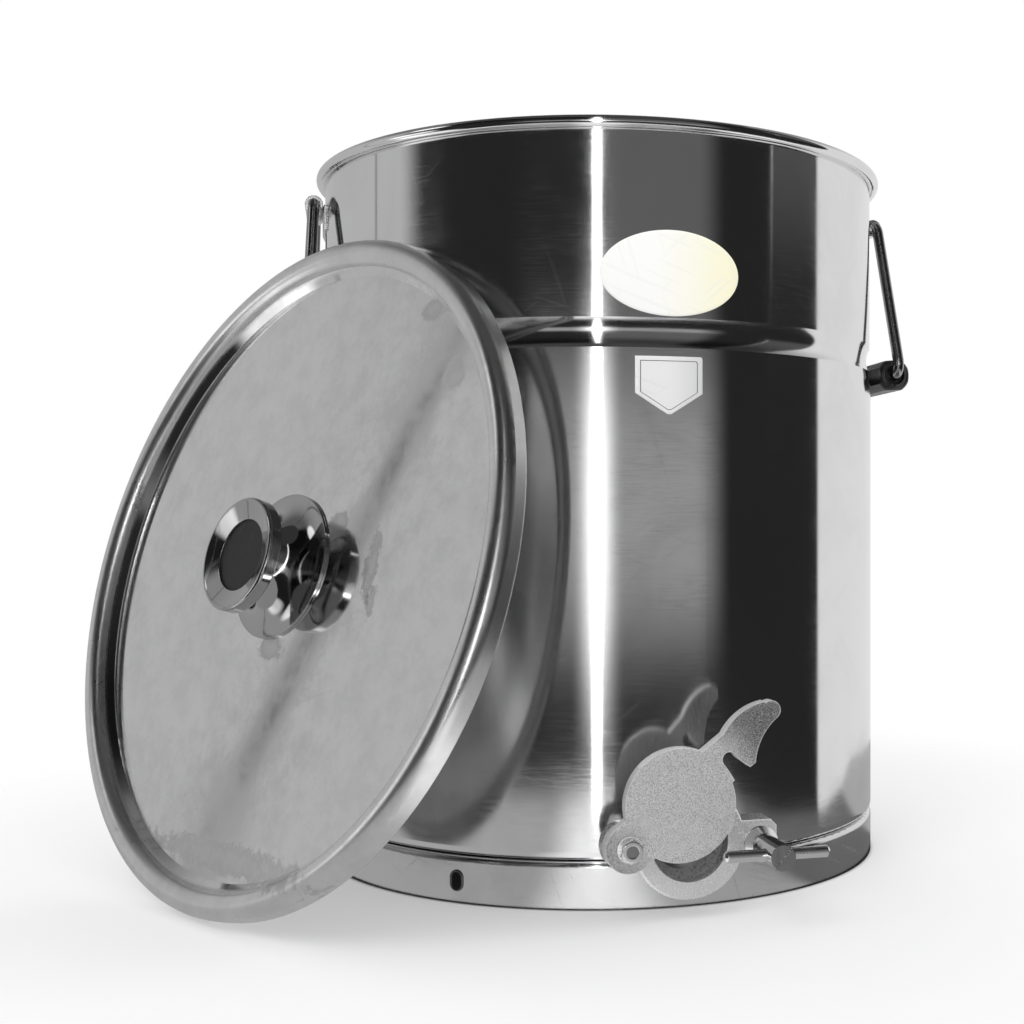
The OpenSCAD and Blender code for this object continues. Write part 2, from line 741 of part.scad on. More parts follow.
module knob_screw() {
    head_top = -sheet_t - washer_t;
    color(steel) at_lid() {
        translate([0, 0, head_top - knob_screw_head_h]) cylinder(d = knob_screw_head_d, h = knob_screw_head_h);
        translate([0, 0, head_top - knob_screw_head_h / 2])
            cylinder(d = knob_screw_d, h = knob_screw_l - head_top + knob_screw_head_h / 2);
    }
}

module knob_washer() {
    color(steel) at_lid() translate([0, 0, -sheet_t - washer_t])
        tube(knob_washer_d / 2, knob_screw_d / 2, washer_t);
}

tank_shell();
tank_floor();
base_ring();
gate_spigot();
gate_body();
gate_blade();
pivot_bolt();
pivot_washer();
pivot_nut();
clamp_washer();
clamp_screw();
tommy_bar();
bracket_right();
bracket_left();
bail_right();
bail_left();
grip_right();
grip_left();
lid_pan();
lid_knob();
knob_plug();
knob_screw();
knob_washer();
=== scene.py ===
"""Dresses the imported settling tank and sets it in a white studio.

The tank, its gate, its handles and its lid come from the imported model. This script gives each of them its
finish, adds the stickers and the lip of the vent, and makes the floor, the lamps and the camera.
"""

from __future__ import annotations

import logging
import math
from dataclasses import dataclass
from enum import Enum
from typing import Any, Callable, Iterable, Sequence

import bmesh
import bpy
from mathutils import Euler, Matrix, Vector

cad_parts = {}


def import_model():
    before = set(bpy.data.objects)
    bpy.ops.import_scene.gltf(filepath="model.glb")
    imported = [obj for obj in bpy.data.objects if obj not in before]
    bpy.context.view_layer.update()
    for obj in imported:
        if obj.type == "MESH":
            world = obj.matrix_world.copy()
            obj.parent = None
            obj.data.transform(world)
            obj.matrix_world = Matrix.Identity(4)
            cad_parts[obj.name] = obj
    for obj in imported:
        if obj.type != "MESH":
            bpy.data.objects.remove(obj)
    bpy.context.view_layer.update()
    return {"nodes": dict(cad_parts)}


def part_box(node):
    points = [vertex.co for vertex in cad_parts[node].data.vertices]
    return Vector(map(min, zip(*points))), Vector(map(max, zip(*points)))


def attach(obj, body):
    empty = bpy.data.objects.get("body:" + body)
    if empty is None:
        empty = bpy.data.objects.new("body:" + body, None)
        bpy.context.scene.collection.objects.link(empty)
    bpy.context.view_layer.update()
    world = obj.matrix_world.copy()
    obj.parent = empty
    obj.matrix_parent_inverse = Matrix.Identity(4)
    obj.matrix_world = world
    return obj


LOG = logging.getLogger("settling_tank")
WHITE = (1.0, 1.0, 1.0, 1.0)
SPECK_GREY = (0.2, 0.2, 0.2, 1.0)
CLOUD_GREY = (0.3, 0.3, 0.3, 1.0)
DRIED_GREY = (0.16, 0.16, 0.16, 1.0)
# Dark grey for painted shade on the lid's underside.
UNDERSIDE_SHADE_GREY = (0.12, 0.12, 0.12, 1.0)
# Dark grey for painted shade.
SHADED_GREY = (0.05, 0.05, 0.05, 1.0)
# Near white for painted highlights on cast edges and sides, partly bare worn metal.
BARE_EDGE_HIGHLIGHT = (0.98, 0.98, 0.98, 1.0)

Colour = tuple[float, float, float]
Socket = bpy.types.NodeSocket
Value = float | Sequence[float] | Socket
Outline = list[tuple[float, float]]
Bands = tuple[tuple[float, float], ...]


class Wrap(Enum):
    """How a finish runs over its piece."""

    ROUND_TANK = "round the tank's axis"
    LID_FACE = "over the lid's face"
    SOLID = "through the piece"


class SocketKind(Enum):
    """Socket types of the shared effects."""

    VALUE = "NodeSocketFloat"
    VECTOR = "NodeSocketVector"


class Graph:
    """A node tree with short calls that add nodes and join them."""

    def __init__(self, tree: bpy.types.NodeTree) -> None:
        """Takes over an empty node tree.

        Args:
            tree: The tree of a material, a world or a node group.
        """
        self.tree = tree

    def node(self, kind: str, **settings: Any) -> bpy.types.Node:
        """Adds a node.

        Args:
            kind: Blender's name of the node type.
            **settings: Attributes of the node.

        Returns:
            The new node.
        """
        made = self.tree.nodes.new(kind)
        for name, value in settings.items():
            setattr(made, name, value)
        return made

    def feed(self, target: Socket, value: Value) -> None:
        """Joins a socket to another one, or sets it to a plain value.

        Args:
            target: The input socket.
            value: An output socket, a number or a row of numbers.
        """
        if isinstance(value, bpy.types.NodeSocket):
            self.tree.links.new(value, target)
        else:
            target.default_value = value

    def sum(self, operation: str, *values: Value, clamp: bool = False) -> Socket:
        """Works out a value.

        Args:
            operation: The operation of the Math node.
            *values: Its inputs.
            clamp: Whether the result stays between 0 and 1.

        Returns:
            The result's socket.
        """
        made = self.node("ShaderNodeMath", operation=operation, use_clamp=clamp)
        for target, value in zip(made.inputs, values):
            self.feed(target, value)
        return made.outputs[0]

    def times(self, first: Value, second: Value) -> Socket:
        """Multiplies two values."""
        return self.sum("MULTIPLY", first, second)

    def raised(self, value: Value, mask: Value, share: Value) -> Socket:
        """Adds a share of a mask to a value, and keeps the result between 0 and 1."""
        return self.sum("ADD", value, self.times(mask, share), clamp=True)

    def split(self, vector: Value) -> list[Socket]:
        """Takes a vector apart into its three values."""
        made = self.node("ShaderNodeSeparateXYZ")
        self.feed(made.inputs[0], vector)
        return list(made.outputs)

    def vector(self, operation: str, *values: Value) -> bpy.types.Node:
        """Works out a vector.

        Args:
            operation: The operation of the Vector Math node.
            *values: Its inputs.

        Returns:
            The node, whose outputs are Vector and Value.
        """
        made = self.node("ShaderNodeVectorMath", operation=operation)
        for target, value in zip(made.inputs, values):
            self.feed(target, value)
        return made

    def span(
        self, value: Value, low: float, high: float, to_low: float = 0.0, to_high: float = 1.0
    ) -> Socket:
        """Maps a value from one span to another, smoothly and clamped.

        Args:
            value: The value.
            low: Where the first span starts.
            high: Where the first span ends.
            to_low: Where the second span starts.
            to_high: Where the second span ends.

        Returns:
            The mapped value's socket.
        """
        made = self.node("ShaderNodeMapRange", interpolation_type="SMOOTHSTEP")
        for target, number in zip(made.inputs, (value, low, high, to_low, to_high)):
            self.feed(target, number)
        return made.outputs[0]

    def mix(self, share: Value, first: Value, second: Value) -> Socket:
        """Mixes two colours.

        Args:
            share: How much of the second colour there is.
            first: The first colour.
            second: The second colour.

        Returns:
            The mixed colour's socket.
        """
        made = self.node("ShaderNodeMix", data_type="RGBA")
        colours = [socket for socket in made.inputs if socket.type == "RGBA"]
        self.feed(made.inputs[0], share)
        self.feed(colours[0], first)
        self.feed(colours[1], second)
        return next(socket for socket in made.outputs if socket.type == "RGBA")

    def noise(self, vector: Value, scale: float, detail: float = 3.0, rough: float = 0.55) -> Socket:
        """Adds a noise texture.

        Args:
            vector: Its coordinates, in metres.
            scale: Features to the metre.
            detail: Its octaves.
            rough: How strong the finer octaves are.

        Returns:
            The noise's socket.
        """
        made = self.node("ShaderNodeTexNoise")
        for name, value in (("Vector", vector), ("Scale", scale), ("Detail", detail), ("Roughness", rough)):
            self.feed(made.inputs[name], value)
        return made.outputs["Fac"]

    def group(self, tree: bpy.types.NodeTree, **values: Value) -> bpy.types.Node:
        """Places a shared effect.

        Args:
            tree: The effect's node group.
            **values: Its inputs, by name.

        Returns:
            The group's node.
        """
        made = self.node("ShaderNodeGroup", node_tree=tree)
        for name, value in values.items():
            self.feed(made.inputs[name], value)
        return made


class Effects:
    """The shader effects that several finishes share, each built once."""

    def __init__(self) -> None:
        """Builds the node groups."""
        self.brushing = self._make(
            "brushing",
            {"Along": SocketKind.VALUE, "Across": SocketKind.VALUE, "Coordinates": SocketKind.VECTOR},
            ("Streaks",),
            self._brushing,
        )
        sized = {"Coordinates": SocketKind.VECTOR, "Size": SocketKind.VALUE}
        spread = {"Coordinates": SocketKind.VECTOR, "Density": SocketKind.VALUE}
        self.smears = self._make("smears", sized, ("Film", "Specks"), self._smears)
        self.hairlines = self._make("hairlines", spread, ("Lines",), self._hairlines)
        self.grain = self._make("grain", sized, ("Height", "Pits"), self._grain)
        self.stain = self._make(
            "stain",
            {
                "Coordinates": SocketKind.VECTOR,
                "Centre": SocketKind.VECTOR,
                "Shape": SocketKind.VECTOR,
                "Raggedness": SocketKind.VALUE,
            },
            ("Mask",),
            self._stain,
        )

    @staticmethod
    def _make(
        name: str,
        inputs: dict[str, SocketKind],
        outputs: Iterable[str],
        build: Callable[[Graph, dict[str, Socket]], dict[str, Socket]],
    ) -> bpy.types.NodeTree:
        """Makes a node group.

        Args:
            name: The group's name.
            inputs: Its inputs' names and kinds.
            outputs: Its outputs' names, which are all values.
            build: Joins the inputs to the outputs.

        Returns:
            The node group.
        """
        tree = bpy.data.node_groups.new(name, "ShaderNodeTree")
        for socket, kind in inputs.items():
            tree.interface.new_socket(name=socket, in_out="INPUT", socket_type=kind.value)
        for socket in outputs:
            tree.interface.new_socket(name=socket, in_out="OUTPUT", socket_type=SocketKind.VALUE.value)
        graph = Graph(tree)
        entry, leave = graph.node("NodeGroupInput"), graph.node("NodeGroupOutput")
        for socket, value in build(graph, {s: entry.outputs[s] for s in inputs}).items():
            graph.feed(leave.inputs[socket], value)
        return tree

    @staticmethod
    def _brushing(graph: Graph, given: dict[str, Socket]) -> dict[str, Socket]:
        """Fine lines, long one way and close together the other way."""
        split = graph.split(given["Coordinates"])
        joined = graph.node("ShaderNodeCombineXYZ")
        graph.feed(joined.inputs[0], graph.times(split[0], given["Along"]))
        graph.feed(joined.inputs[1], graph.times(split[1], given["Across"]))
        graph.feed(joined.inputs[2], graph.times(split[2], 3.0))
        fine = graph.noise(joined.outputs[0], 1.0, 3.0, 0.5)
        patch = graph.noise(given["Coordinates"], 22.0, 3.0, 0.6)
        strong = graph.span(patch, 0.35, 0.65, 0.3, 1.0)
        return {"Streaks": graph.times(graph.span(fine, 0.35, 0.72), strong)}

    @staticmethod
    def _smears(graph: Graph, given: dict[str, Socket]) -> dict[str, Socket]:
        """A wiped film with soft clouds, and fine specks in it."""
        scaled = graph.vector("SCALE", given["Coordinates"])
        graph.feed(scaled.inputs["Scale"], graph.sum("DIVIDE", 1.0, given["Size"]))
        cloud = graph.node("ShaderNodeTexNoise")
        graph.feed(cloud.inputs["Vector"], scaled.outputs[0])
        for name, value in (("Scale", 1.0), ("Detail", 6.0), ("Roughness", 0.62), ("Distortion", 0.9)):
            cloud.inputs[name].default_value = value
        film = graph.span(cloud.outputs["Fac"], 0.38, 0.68)
        speck = graph.noise(scaled.outputs[0], 42.0, 2.0, 0.7)
        patch = graph.noise(scaled.outputs[0], 1.7, 3.0, 0.5)
        specks = graph.times(graph.span(speck, 0.6, 0.76), graph.span(patch, 0.5, 0.72))
        return {"Film": film, "Specks": specks}

    @staticmethod
    def _hairlines(graph: Graph, given: dict[str, Socket]) -> dict[str, Socket]:
        """A few thin scratches in three directions."""
        lines: Socket | None = None
        for turn, reach in ((0.35, 26.0), (1.25, 18.0), (-0.7, 32.0)):
            turned = graph.node("ShaderNodeVectorRotate", rotation_type="Z_AXIS")
            turned.inputs["Angle"].default_value = turn
            graph.feed(turned.inputs["Vector"], given["Coordinates"])
            drawn = graph.vector("MULTIPLY", turned.outputs[0], (reach, 420.0, 40.0))
            thread = graph.noise(drawn.outputs[0], 1.0, 0.0, 0.0)
            sparse = graph.sum("SUBTRACT", 0.82, given["Density"])
            edge = graph.sum("ADD", sparse, 0.05)
            made = graph.node("ShaderNodeMapRange", interpolation_type="SMOOTHSTEP")
            graph.feed(made.inputs[0], thread)
            graph.feed(made.inputs[1], sparse)
            graph.feed(made.inputs[2], edge)
            lines = made.outputs[0] if lines is None else graph.sum("MAXIMUM", lines, made.outputs[0])
        return {"Lines": lines}

    @staticmethod
    def _grain(graph: Graph, given: dict[str, Socket]) -> dict[str, Socket]:
        """The pebbled skin of a casting, and the pits in it."""
        scaled = graph.vector("SCALE", given["Coordinates"])
        graph.feed(scaled.inputs["Scale"], graph.sum("DIVIDE", 1.0, given["Size"]))
        pebble = graph.node("ShaderNodeTexVoronoi", feature="SMOOTH_F1")
        graph.feed(pebble.inputs["Vector"], scaled.outputs[0])
        pebble.inputs["Scale"].default_value = 1.0
        pebble.inputs["Smoothness"].default_value = 0.6
        rough = graph.noise(scaled.outputs[0], 1.6, 3.0, 0.6)
        height = graph.sum("ADD", graph.times(pebble.outputs["Distance"], 0.7), rough)
        return {"Height": height, "Pits": graph.span(height, 0.62, 1.05)}

    @staticmethod
    def _stain(graph: Graph, given: dict[str, Socket]) -> dict[str, Socket]:
        """A ragged spot that is darkest along its edge."""
        offset = graph.vector("SUBTRACT", given["Coordinates"], given["Centre"])
        wobble = graph.noise(given["Coordinates"], 170.0, 6.0, 0.75)
        reach = graph.vector("LENGTH", graph.vector("DIVIDE", offset.outputs[0], given["Shape"]).outputs[0])
        swing = graph.times(graph.sum("SUBTRACT", wobble, 0.5), given["Raggedness"])
        edge = graph.sum("ADD", reach.outputs["Value"], swing)
        inside = graph.span(edge, 1.0, 0.6)
        ring = graph.span(edge, 0.2, 0.8, 0.6, 1.0)
        return {"Mask": graph.times(inside, ring)}


@dataclass(frozen=True)
class LidPlace:
    """Where the lid stands, as its disc's middle and its turns."""

    centre: tuple[float, float, float] = (-0.186137, -0.098662, 0.167201)
    lean: float = math.radians(15.3)
    turn: float = math.radians(270 - 58.4)

    @property
    def rotation(self) -> tuple[float, float, float]:
        """The turns that take the lid from flat to where it stands."""
        return (0.0, math.pi / 2 - self.lean, self.turn)

    @property
    def axis(self) -> tuple[float, float, float]:
        """The way that the lid's face looks."""
        return tuple(Euler(self.rotation).to_matrix() @ Vector((0.0, 0.0, 1.0)))


@dataclass(frozen=True)
class Surface:
    """What every finish starts from: a new material with its graph and shader."""

    material: bpy.types.Material
    graph: Graph
    shader: bpy.types.Node

    @classmethod
    def new(cls, name: str) -> Surface:
        """Makes an empty material with a Principled shader.

        Args:
            name: The material's name.

        Returns:
            The material, its graph and its shader.
        """
        material = bpy.data.materials.new(name)
        material.use_nodes = True
        material.node_tree.nodes.clear()
        graph = Graph(material.node_tree)
        shader = graph.node("ShaderNodeBsdfPrincipled")
        leave = graph.node("ShaderNodeOutputMaterial")
        graph.feed(leave.inputs["Surface"], shader.outputs[0])
        return cls(material, graph, shader)

    def set(self, **values: Value) -> None:
        """Sets the shader's sockets, whose names are written with underscores."""
        for name, value in values.items():
            self.graph.feed(self.shader.inputs[name.replace("_", " ")], value)

    def coordinates(self, wrap: Wrap, lid: LidPlace) -> Socket:
        """Gives coordinates in metres that suit how the finish runs.

        Args:
            wrap: How the finish runs over its piece.
            lid: Where the lid stands.

        Returns:
            The coordinates' socket.
        """
        graph = self.graph
        place = graph.node("ShaderNodeTexCoord").outputs["Object"]
        if wrap is Wrap.SOLID:
            return place
        if wrap is Wrap.LID_FACE:
            flat = graph.node("ShaderNodeMapping", vector_type="TEXTURE")
            flat.inputs["Location"].default_value = lid.centre
            flat.inputs["Rotation"].default_value = lid.rotation
            graph.feed(flat.inputs["Vector"], place)
            return flat.outputs[0]
        split = graph.split(place)
        joined = graph.node("ShaderNodeCombineXYZ")
        around = graph.sum("ARCTAN2", split[0], graph.times(split[1], -1.0))
        radius = graph.vector("LENGTH", graph.vector("MULTIPLY", place, (1.0, 1.0, 0.0)).outputs[0])
        graph.feed(joined.inputs[0], graph.times(around, 0.16))
        graph.feed(joined.inputs[1], split[2])
        graph.feed(joined.inputs[2], radius.outputs["Value"])
        return joined.outputs[0]

    def bump(self, height: Value, depth: float, before: Socket | None = None) -> Socket:
        """Adds a bump.

        Args:
            height: The height, as a share of the depth.
            depth: The depth in metres.
            before: Another bump's normal that this one adds to.

        Returns:
            The normal's socket.
        """
        made = self.graph.node("ShaderNodeBump")
        made.inputs["Strength"].default_value = 1.0
        made.inputs["Distance"].default_value = depth
        self.graph.feed(made.inputs["Height"], height)
        if before is not None:
            self.graph.feed(made.inputs["Normal"], before)
        return made.outputs[0]


@dataclass(frozen=True)
class Stain:
    """A dried spot on the lid, in the lid's own coordinates."""

    centre: tuple[float, float]
    size: tuple[float, float]
    ragged: float
    depth: float


@dataclass(frozen=True)
class Rim:
    """Where a round sheet's spun rim starts, and how rough it is."""

    start: float
    end: float
    roughness: float


@dataclass(frozen=True)
class SheetFinish:
    """Polished or satin stainless sheet."""

    name: str
    colour: Colour
    roughness: float
    streaks: float
    films: float
    scratches: float
    anisotropy: float
    wrap: Wrap
    stains: tuple[Stain, ...] = ()
    grime: float = 0.0
    scuffs: float = 0.08
    mottle: float = 0.0
    rim: Rim | None = None
    inside: float = 0.0

    def build(self, effects: Effects, lid: LidPlace) -> bpy.types.Material:
        """Makes the material.

        Args:
            effects: The shared effects.
            lid: Where the lid stands.

        Returns:
            The material.
        """
        face = Surface.new(self.name)
        graph = face.graph
        place = face.coordinates(self.wrap, lid)
        lines = graph.group(effects.brushing, Coordinates=place, Along=90.0, Across=2600.0).outputs["Streaks"]
        smear = graph.group(effects.smears, Coordinates=place, Size=0.075)
        hair = graph.group(effects.hairlines, Coordinates=place, Density=self.scratches).outputs["Lines"]
        film = smear.outputs["Film"]
        rough = graph.raised(self.roughness, lines, self.streaks)
        rough = graph.raised(rough, film, self.films)
        rough = graph.raised(rough, hair, self.scuffs)
        dark = tuple(0.86 * c for c in self.colour)
        tint = graph.mix(graph.times(film, 0.4), (*self.colour, 1.0), (*dark, 1.0))
        tint = graph.mix(graph.times(smear.outputs["Specks"], self.grime), tint, SPECK_GREY)
        if self.mottle:
            cloud = graph.span(graph.noise(place, 55.0, 9.0, 0.74), 0.4, 0.64)
            tint = graph.mix(graph.times(cloud, self.mottle), tint, CLOUD_GREY)
            rough = graph.raised(rough, cloud, 0.03)
        for spot in self.stains:
            mask = graph.group(
                effects.stain,
                Coordinates=place,
                Centre=(*spot.centre, 0.0),
                Shape=(*spot.size, 1.0),
                Raggedness=spot.ragged,
            ).outputs["Mask"]
            share = graph.times(mask, spot.depth)
            tint = graph.mix(share, tint, DRIED_GREY)
            rough = graph.raised(rough, mask, 0.14)
        if self.rim is not None:
            reach = graph.vector("LENGTH", place).outputs["Value"]
            spun = graph.span(reach, self.rim.start, self.rim.end, 0.0, self.rim.roughness)
            rough = graph.sum("ADD", rough, spun, clamp=True)
        # Painted shade: faces of the lid turned away from its face are mixed toward a dark grey and made
        # rougher by the inside share.
        if self.inside:
            facing = graph.node("ShaderNodeTexCoord").outputs["Normal"]
            outward = graph.vector("DOT_PRODUCT", facing, lid.axis).outputs["Value"]
            share = graph.span(outward, -0.6, -0.2, self.inside, 0.0)
            tint = graph.mix(share, tint, UNDERSIDE_SHADE_GREY)
            rough = graph.raised(rough, share, 0.2)
        normal = face.bump(hair, 0.0000004)
        face.set(Base_Color=tint, Metallic=1.0, Roughness=rough, Normal=normal)
        if self.anisotropy:
            face.set(Anisotropic=self.anisotropy, Anisotropic_Rotation=0.25)
            around = graph.node("ShaderNodeTangent", direction_type="RADIAL", axis="Z")
            face.set(Tangent=around.outputs[0])
        return face.material


@dataclass(frozen=True)
class Fade:
    """How a casting's skin turns barer away from a point, and darker there as a painted dark reflection."""

    centre: tuple[float, float, float]
    start: float
    end: float
    depth: float


@dataclass(frozen=True)
class CastFinish:
    """A cast and tumbled metal with a grained skin."""

    name: str
    colour: Colour
    roughness: float
    grain: float
    depth: float
    edge: float
    metallic: float
    pitting: float
    fade: Fade | None = None
    sides: float = 0.0
    back: float = 0.0

    def build(self, effects: Effects, lid: LidPlace) -> bpy.types.Material:
        """Makes the material.

        Args:
            effects: The shared effects.
            lid: Where the lid stands.

        Returns:
            The material.
        """
        face = Surface.new(self.name)
        graph = face.graph
        place = face.coordinates(Wrap.SOLID, lid)
        skin = graph.group(effects.grain, Coordinates=place, Size=self.grain)
        smear = graph.group(effects.smears, Coordinates=place, Size=0.016)
        pits = skin.outputs["Pits"]
        dark = tuple(0.48 * c for c in self.colour)
        tint = graph.mix(graph.times(pits, self.pitting), (*self.colour, 1.0), (*dark, 1.0))
        tint = graph.mix(graph.times(smear.outputs["Film"], 0.12), tint, (*dark, 1.0))
        rough = graph.raised(self.roughness, pits, 0.14)
        rough = graph.raised(rough, smear.outputs["Film"], 0.08)
        metallic: Value = self.metallic
        # Away from the fade's centre the skin turns more metallic, and its tint is darkened as a painted dark
        # reflection.
        if self.fade is not None:
            away = graph.vector("DISTANCE", place, self.fade.centre).outputs["Value"]
            share = graph.span(away, self.fade.start, self.fade.end)
            share = graph.times(share, graph.span(pits, 0.2, 0.6, 0.4, 1.0))
            painted_reflection_dark = tuple(0.2 * c for c in self.colour)
            tint = graph.mix(graph.times(share, self.fade.depth), tint, (*painted_reflection_dark, 1.0))
            metallic = graph.sum("ADD", self.metallic, graph.times(share, 1.0 - self.metallic))
        # Painted highlight: the worn mask marks edges by the bevel normal; there the skin is mixed toward near
        # white, made less metallic and smoother, partly as bare worn metal.
        rounded = graph.node("ShaderNodeBevel", samples=6)
        rounded.inputs["Radius"].default_value = self.edge
        flat = graph.node("ShaderNodeNewGeometry").outputs["Normal"]
        bend = graph.vector("DOT_PRODUCT", rounded.outputs[0], flat).outputs["Value"]
        worn = graph.span(bend, 0.985, 0.9)
        facing = graph.node("ShaderNodeTexCoord").outputs["Normal"]
        inward = graph.vector("DOT_PRODUCT", facing, (0.0, 1.0, 0.0)).outputs["Value"]
        # Painted highlight: faces whose normals lie across the Y axis, the blade's sides, join the worn mask
        # by the sides share.
        if self.sides:
            upright = graph.sum("ABSOLUTE", inward)
            worn = graph.sum("MAXIMUM", worn, graph.span(upright, 0.3, 0.6, self.sides, 0.0))
        # Painted shade: faces turned toward the tank wall (+Y) are mixed toward a dark grey by the back share.
        if self.back:
            tint = graph.mix(graph.span(inward, -0.2, 0.4, 0.0, self.back), tint, SHADED_GREY)
        tint = graph.mix(worn, tint, BARE_EDGE_HIGHLIGHT)
        metallic = graph.times(metallic, graph.span(worn, 0.0, 1.0, 1.0, 0.15))
        rough = graph.sum("SUBTRACT", rough, graph.times(worn, 0.08), clamp=True)
        normal = face.bump(skin.outputs["Height"], self.depth, rounded.outputs[0])
        face.set(Base_Color=tint, Metallic=metallic, Roughness=rough, Normal=normal)
        return face.material


@dataclass(frozen=True)
class BrightFinish:
    """Turned or plated metal with a bright skin."""

    name: str
    colour: Colour
    roughness: float
    edge: float
    films: float = 0.1
    painted_end_shade: float = 0.0

    def build(self, effects: Effects, lid: LidPlace) -> bpy.types.Material:
        """Makes the material.

        Args:
            effects: The shared effects.
            lid: Where the lid stands.

        Returns:
            The material.
        """
        face = Surface.new(self.name)
        graph = face.graph
        place = face.coordinates(Wrap.SOLID, lid)
        smear = graph.group(effects.smears, Coordinates=place, Size=0.02)
        hair = graph.group(effects.hairlines, Coordinates=place, Density=0.1).outputs["Lines"]
        rough = graph.raised(self.roughness, smear.outputs["Film"], self.films)
        rough = graph.raised(rough, hair, 0.1)
        dark = tuple(0.7 * c for c in self.colour)
        tint = graph.mix(graph.times(smear.outputs["Specks"], 0.7), (*self.colour, 1.0), (*dark, 1.0))
        # Painted shade: end faces turned to -Y are mixed toward a dark grey by this finish's end share.
        if self.painted_end_shade:
            facing = graph.node("ShaderNodeTexCoord").outputs["Normal"]
            outward = graph.vector("DOT_PRODUCT", facing, (0.0, -1.0, 0.0)).outputs["Value"]
            share = graph.times(graph.span(outward, 0.97, 0.995), self.painted_end_shade)
            tint = graph.mix(share, tint, SHADED_GREY)
        rounded = graph.node("ShaderNodeBevel", samples=6)
        rounded.inputs["Radius"].default_value = self.edge
        normal = face.bump(hair, 0.000003, rounded.outputs[0])
        face.set(Base_Color=tint, Metallic=1.0, Roughness=rough, Normal=normal)
        return face.material


@dataclass(frozen=True)
class MouldedFinish:
    """Black moulded plastic, scuffed where hands and table edges reach it."""

    name: str
    colour: Colour
    worn: Colour
    roughness: float

    def build(self, effects: Effects, lid: LidPlace) -> bpy.types.Material:
        """Makes the material.

        Args:
            effects: The shared effects.
            lid: Where the lid stands.

        Returns:
            The material.
        """
        face = Surface.new(self.name)
        graph = face.graph
        place = face.coordinates(Wrap.SOLID, lid)
        skin = graph.group(effects.grain, Coordinates=place, Size=0.0009)
        smear = graph.group(effects.smears, Coordinates=place, Size=0.012)
        hair = graph.group(effects.hairlines, Coordinates=place, Density=0.14).outputs["Lines"]
        share = graph.sum("MAXIMUM", graph.times(smear.outputs["Film"], 0.4), hair)
        tint = graph.mix(share, (*self.colour, 1.0), (*self.worn, 1.0))
        rough = graph.raised(self.roughness, share, 0.18)
        normal = face.bump(skin.outputs["Height"], 0.00003)
        face.set(Base_Color=tint, Roughness=rough, Normal=normal, Specular_IOR_Level=0.5)
        return face.material


@dataclass(frozen=True)
class PrintFinish:
    """A sticker's printed film, which turns from one tone to another across it."""

    name: str
    near: Colour
    far: Colour
    metallic: float
    roughness: float
    start: float
    end: float

    def build(self, effects: Effects, lid: LidPlace) -> bpy.types.Material:
        """Makes the material.

        Args:
            effects: The shared effects.
            lid: Where the lid stands.

        Returns:
            The material.
        """
        face = Surface.new(self.name)
        graph = face.graph
        place = face.coordinates(Wrap.ROUND_TANK, lid)
        split = graph.split(place)
        smear = graph.group(effects.smears, Coordinates=place, Size=0.02)
        hair = graph.group(effects.hairlines, Coordinates=place, Density=0.12).outputs["Lines"]
        ink = graph.noise(place, 5200.0, 2.0, 0.6)
        blend = graph.span(split[0], self.start, self.end)
        tint = graph.mix(blend, (*self.near, 1.0), (*self.far, 1.0))
        worn = tuple(0.86 * c for c in self.near)
        share = graph.times(graph.sum("ADD", smear.outputs["Specks"], hair, clamp=True), 0.25)
        tint = graph.mix(share, tint, (*worn, 1.0))
        tint = graph.mix(graph.times(ink, 0.06), tint, (*worn, 1.0))
        rough = graph.raised(self.roughness, smear.outputs["Film"], 0.12)
        rough = graph.raised(rough, hair, 0.04)
        normal = face.bump(ink, 0.000003)
        face.set(Base_Color=tint, Roughness=rough, Metallic=self.metallic, Normal=normal)
        return face.material


@dataclass
class Workshop:
    """What the sub-assemblies share while they are dressed."""

    nodes: dict[str, bpy.types.Object]
    effects: Effects
    lid: LidPlace

    def dress(self, names: Iterable[str], material: bpy.types.Material) -> None:
        """Gives CAD nodes a finish.

        Args:
            names: The nodes.
            material: The finish.
        """
        for name in names:
            for slot in self.nodes[name].material_slots:
                slot.material = material
            LOG.info("dressed %s in %s", name, material.name)

    def piece(
        self,
        name: str,
        points: Sequence[Sequence[float]],
        faces: Sequence[Sequence[int]],
        material: bpy.types.Material,
        body: str,
    ) -> bpy.types.Object:
        """Makes a smooth mesh piece that rides on a body.

        Args:
            name: The piece's name.
            points: Its points in metres.
            faces: Its faces.
            material: Its finish.
            body: The body that it moves with.

        Returns:
            The new object.
        """
        mesh = bpy.data.meshes.new(name)
        mesh.from_pydata([tuple(p) for p in points], [], [tuple(f) for f in faces])
        made = bmesh.new()
        made.from_mesh(mesh)
        bmesh.ops.recalc_face_normals(made, faces=made.faces)
        made.to_mesh(mesh)
        made.free()
        mesh.polygons.foreach_set("use_smooth", [True] * len(mesh.polygons))
        mesh.materials.append(material)
        thing = bpy.data.objects.new(name, mesh)
        bpy.context.scene.collection.objects.link(thing)
        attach(thing, body)
        LOG.info("made %s on %s", name, body)
        return thing


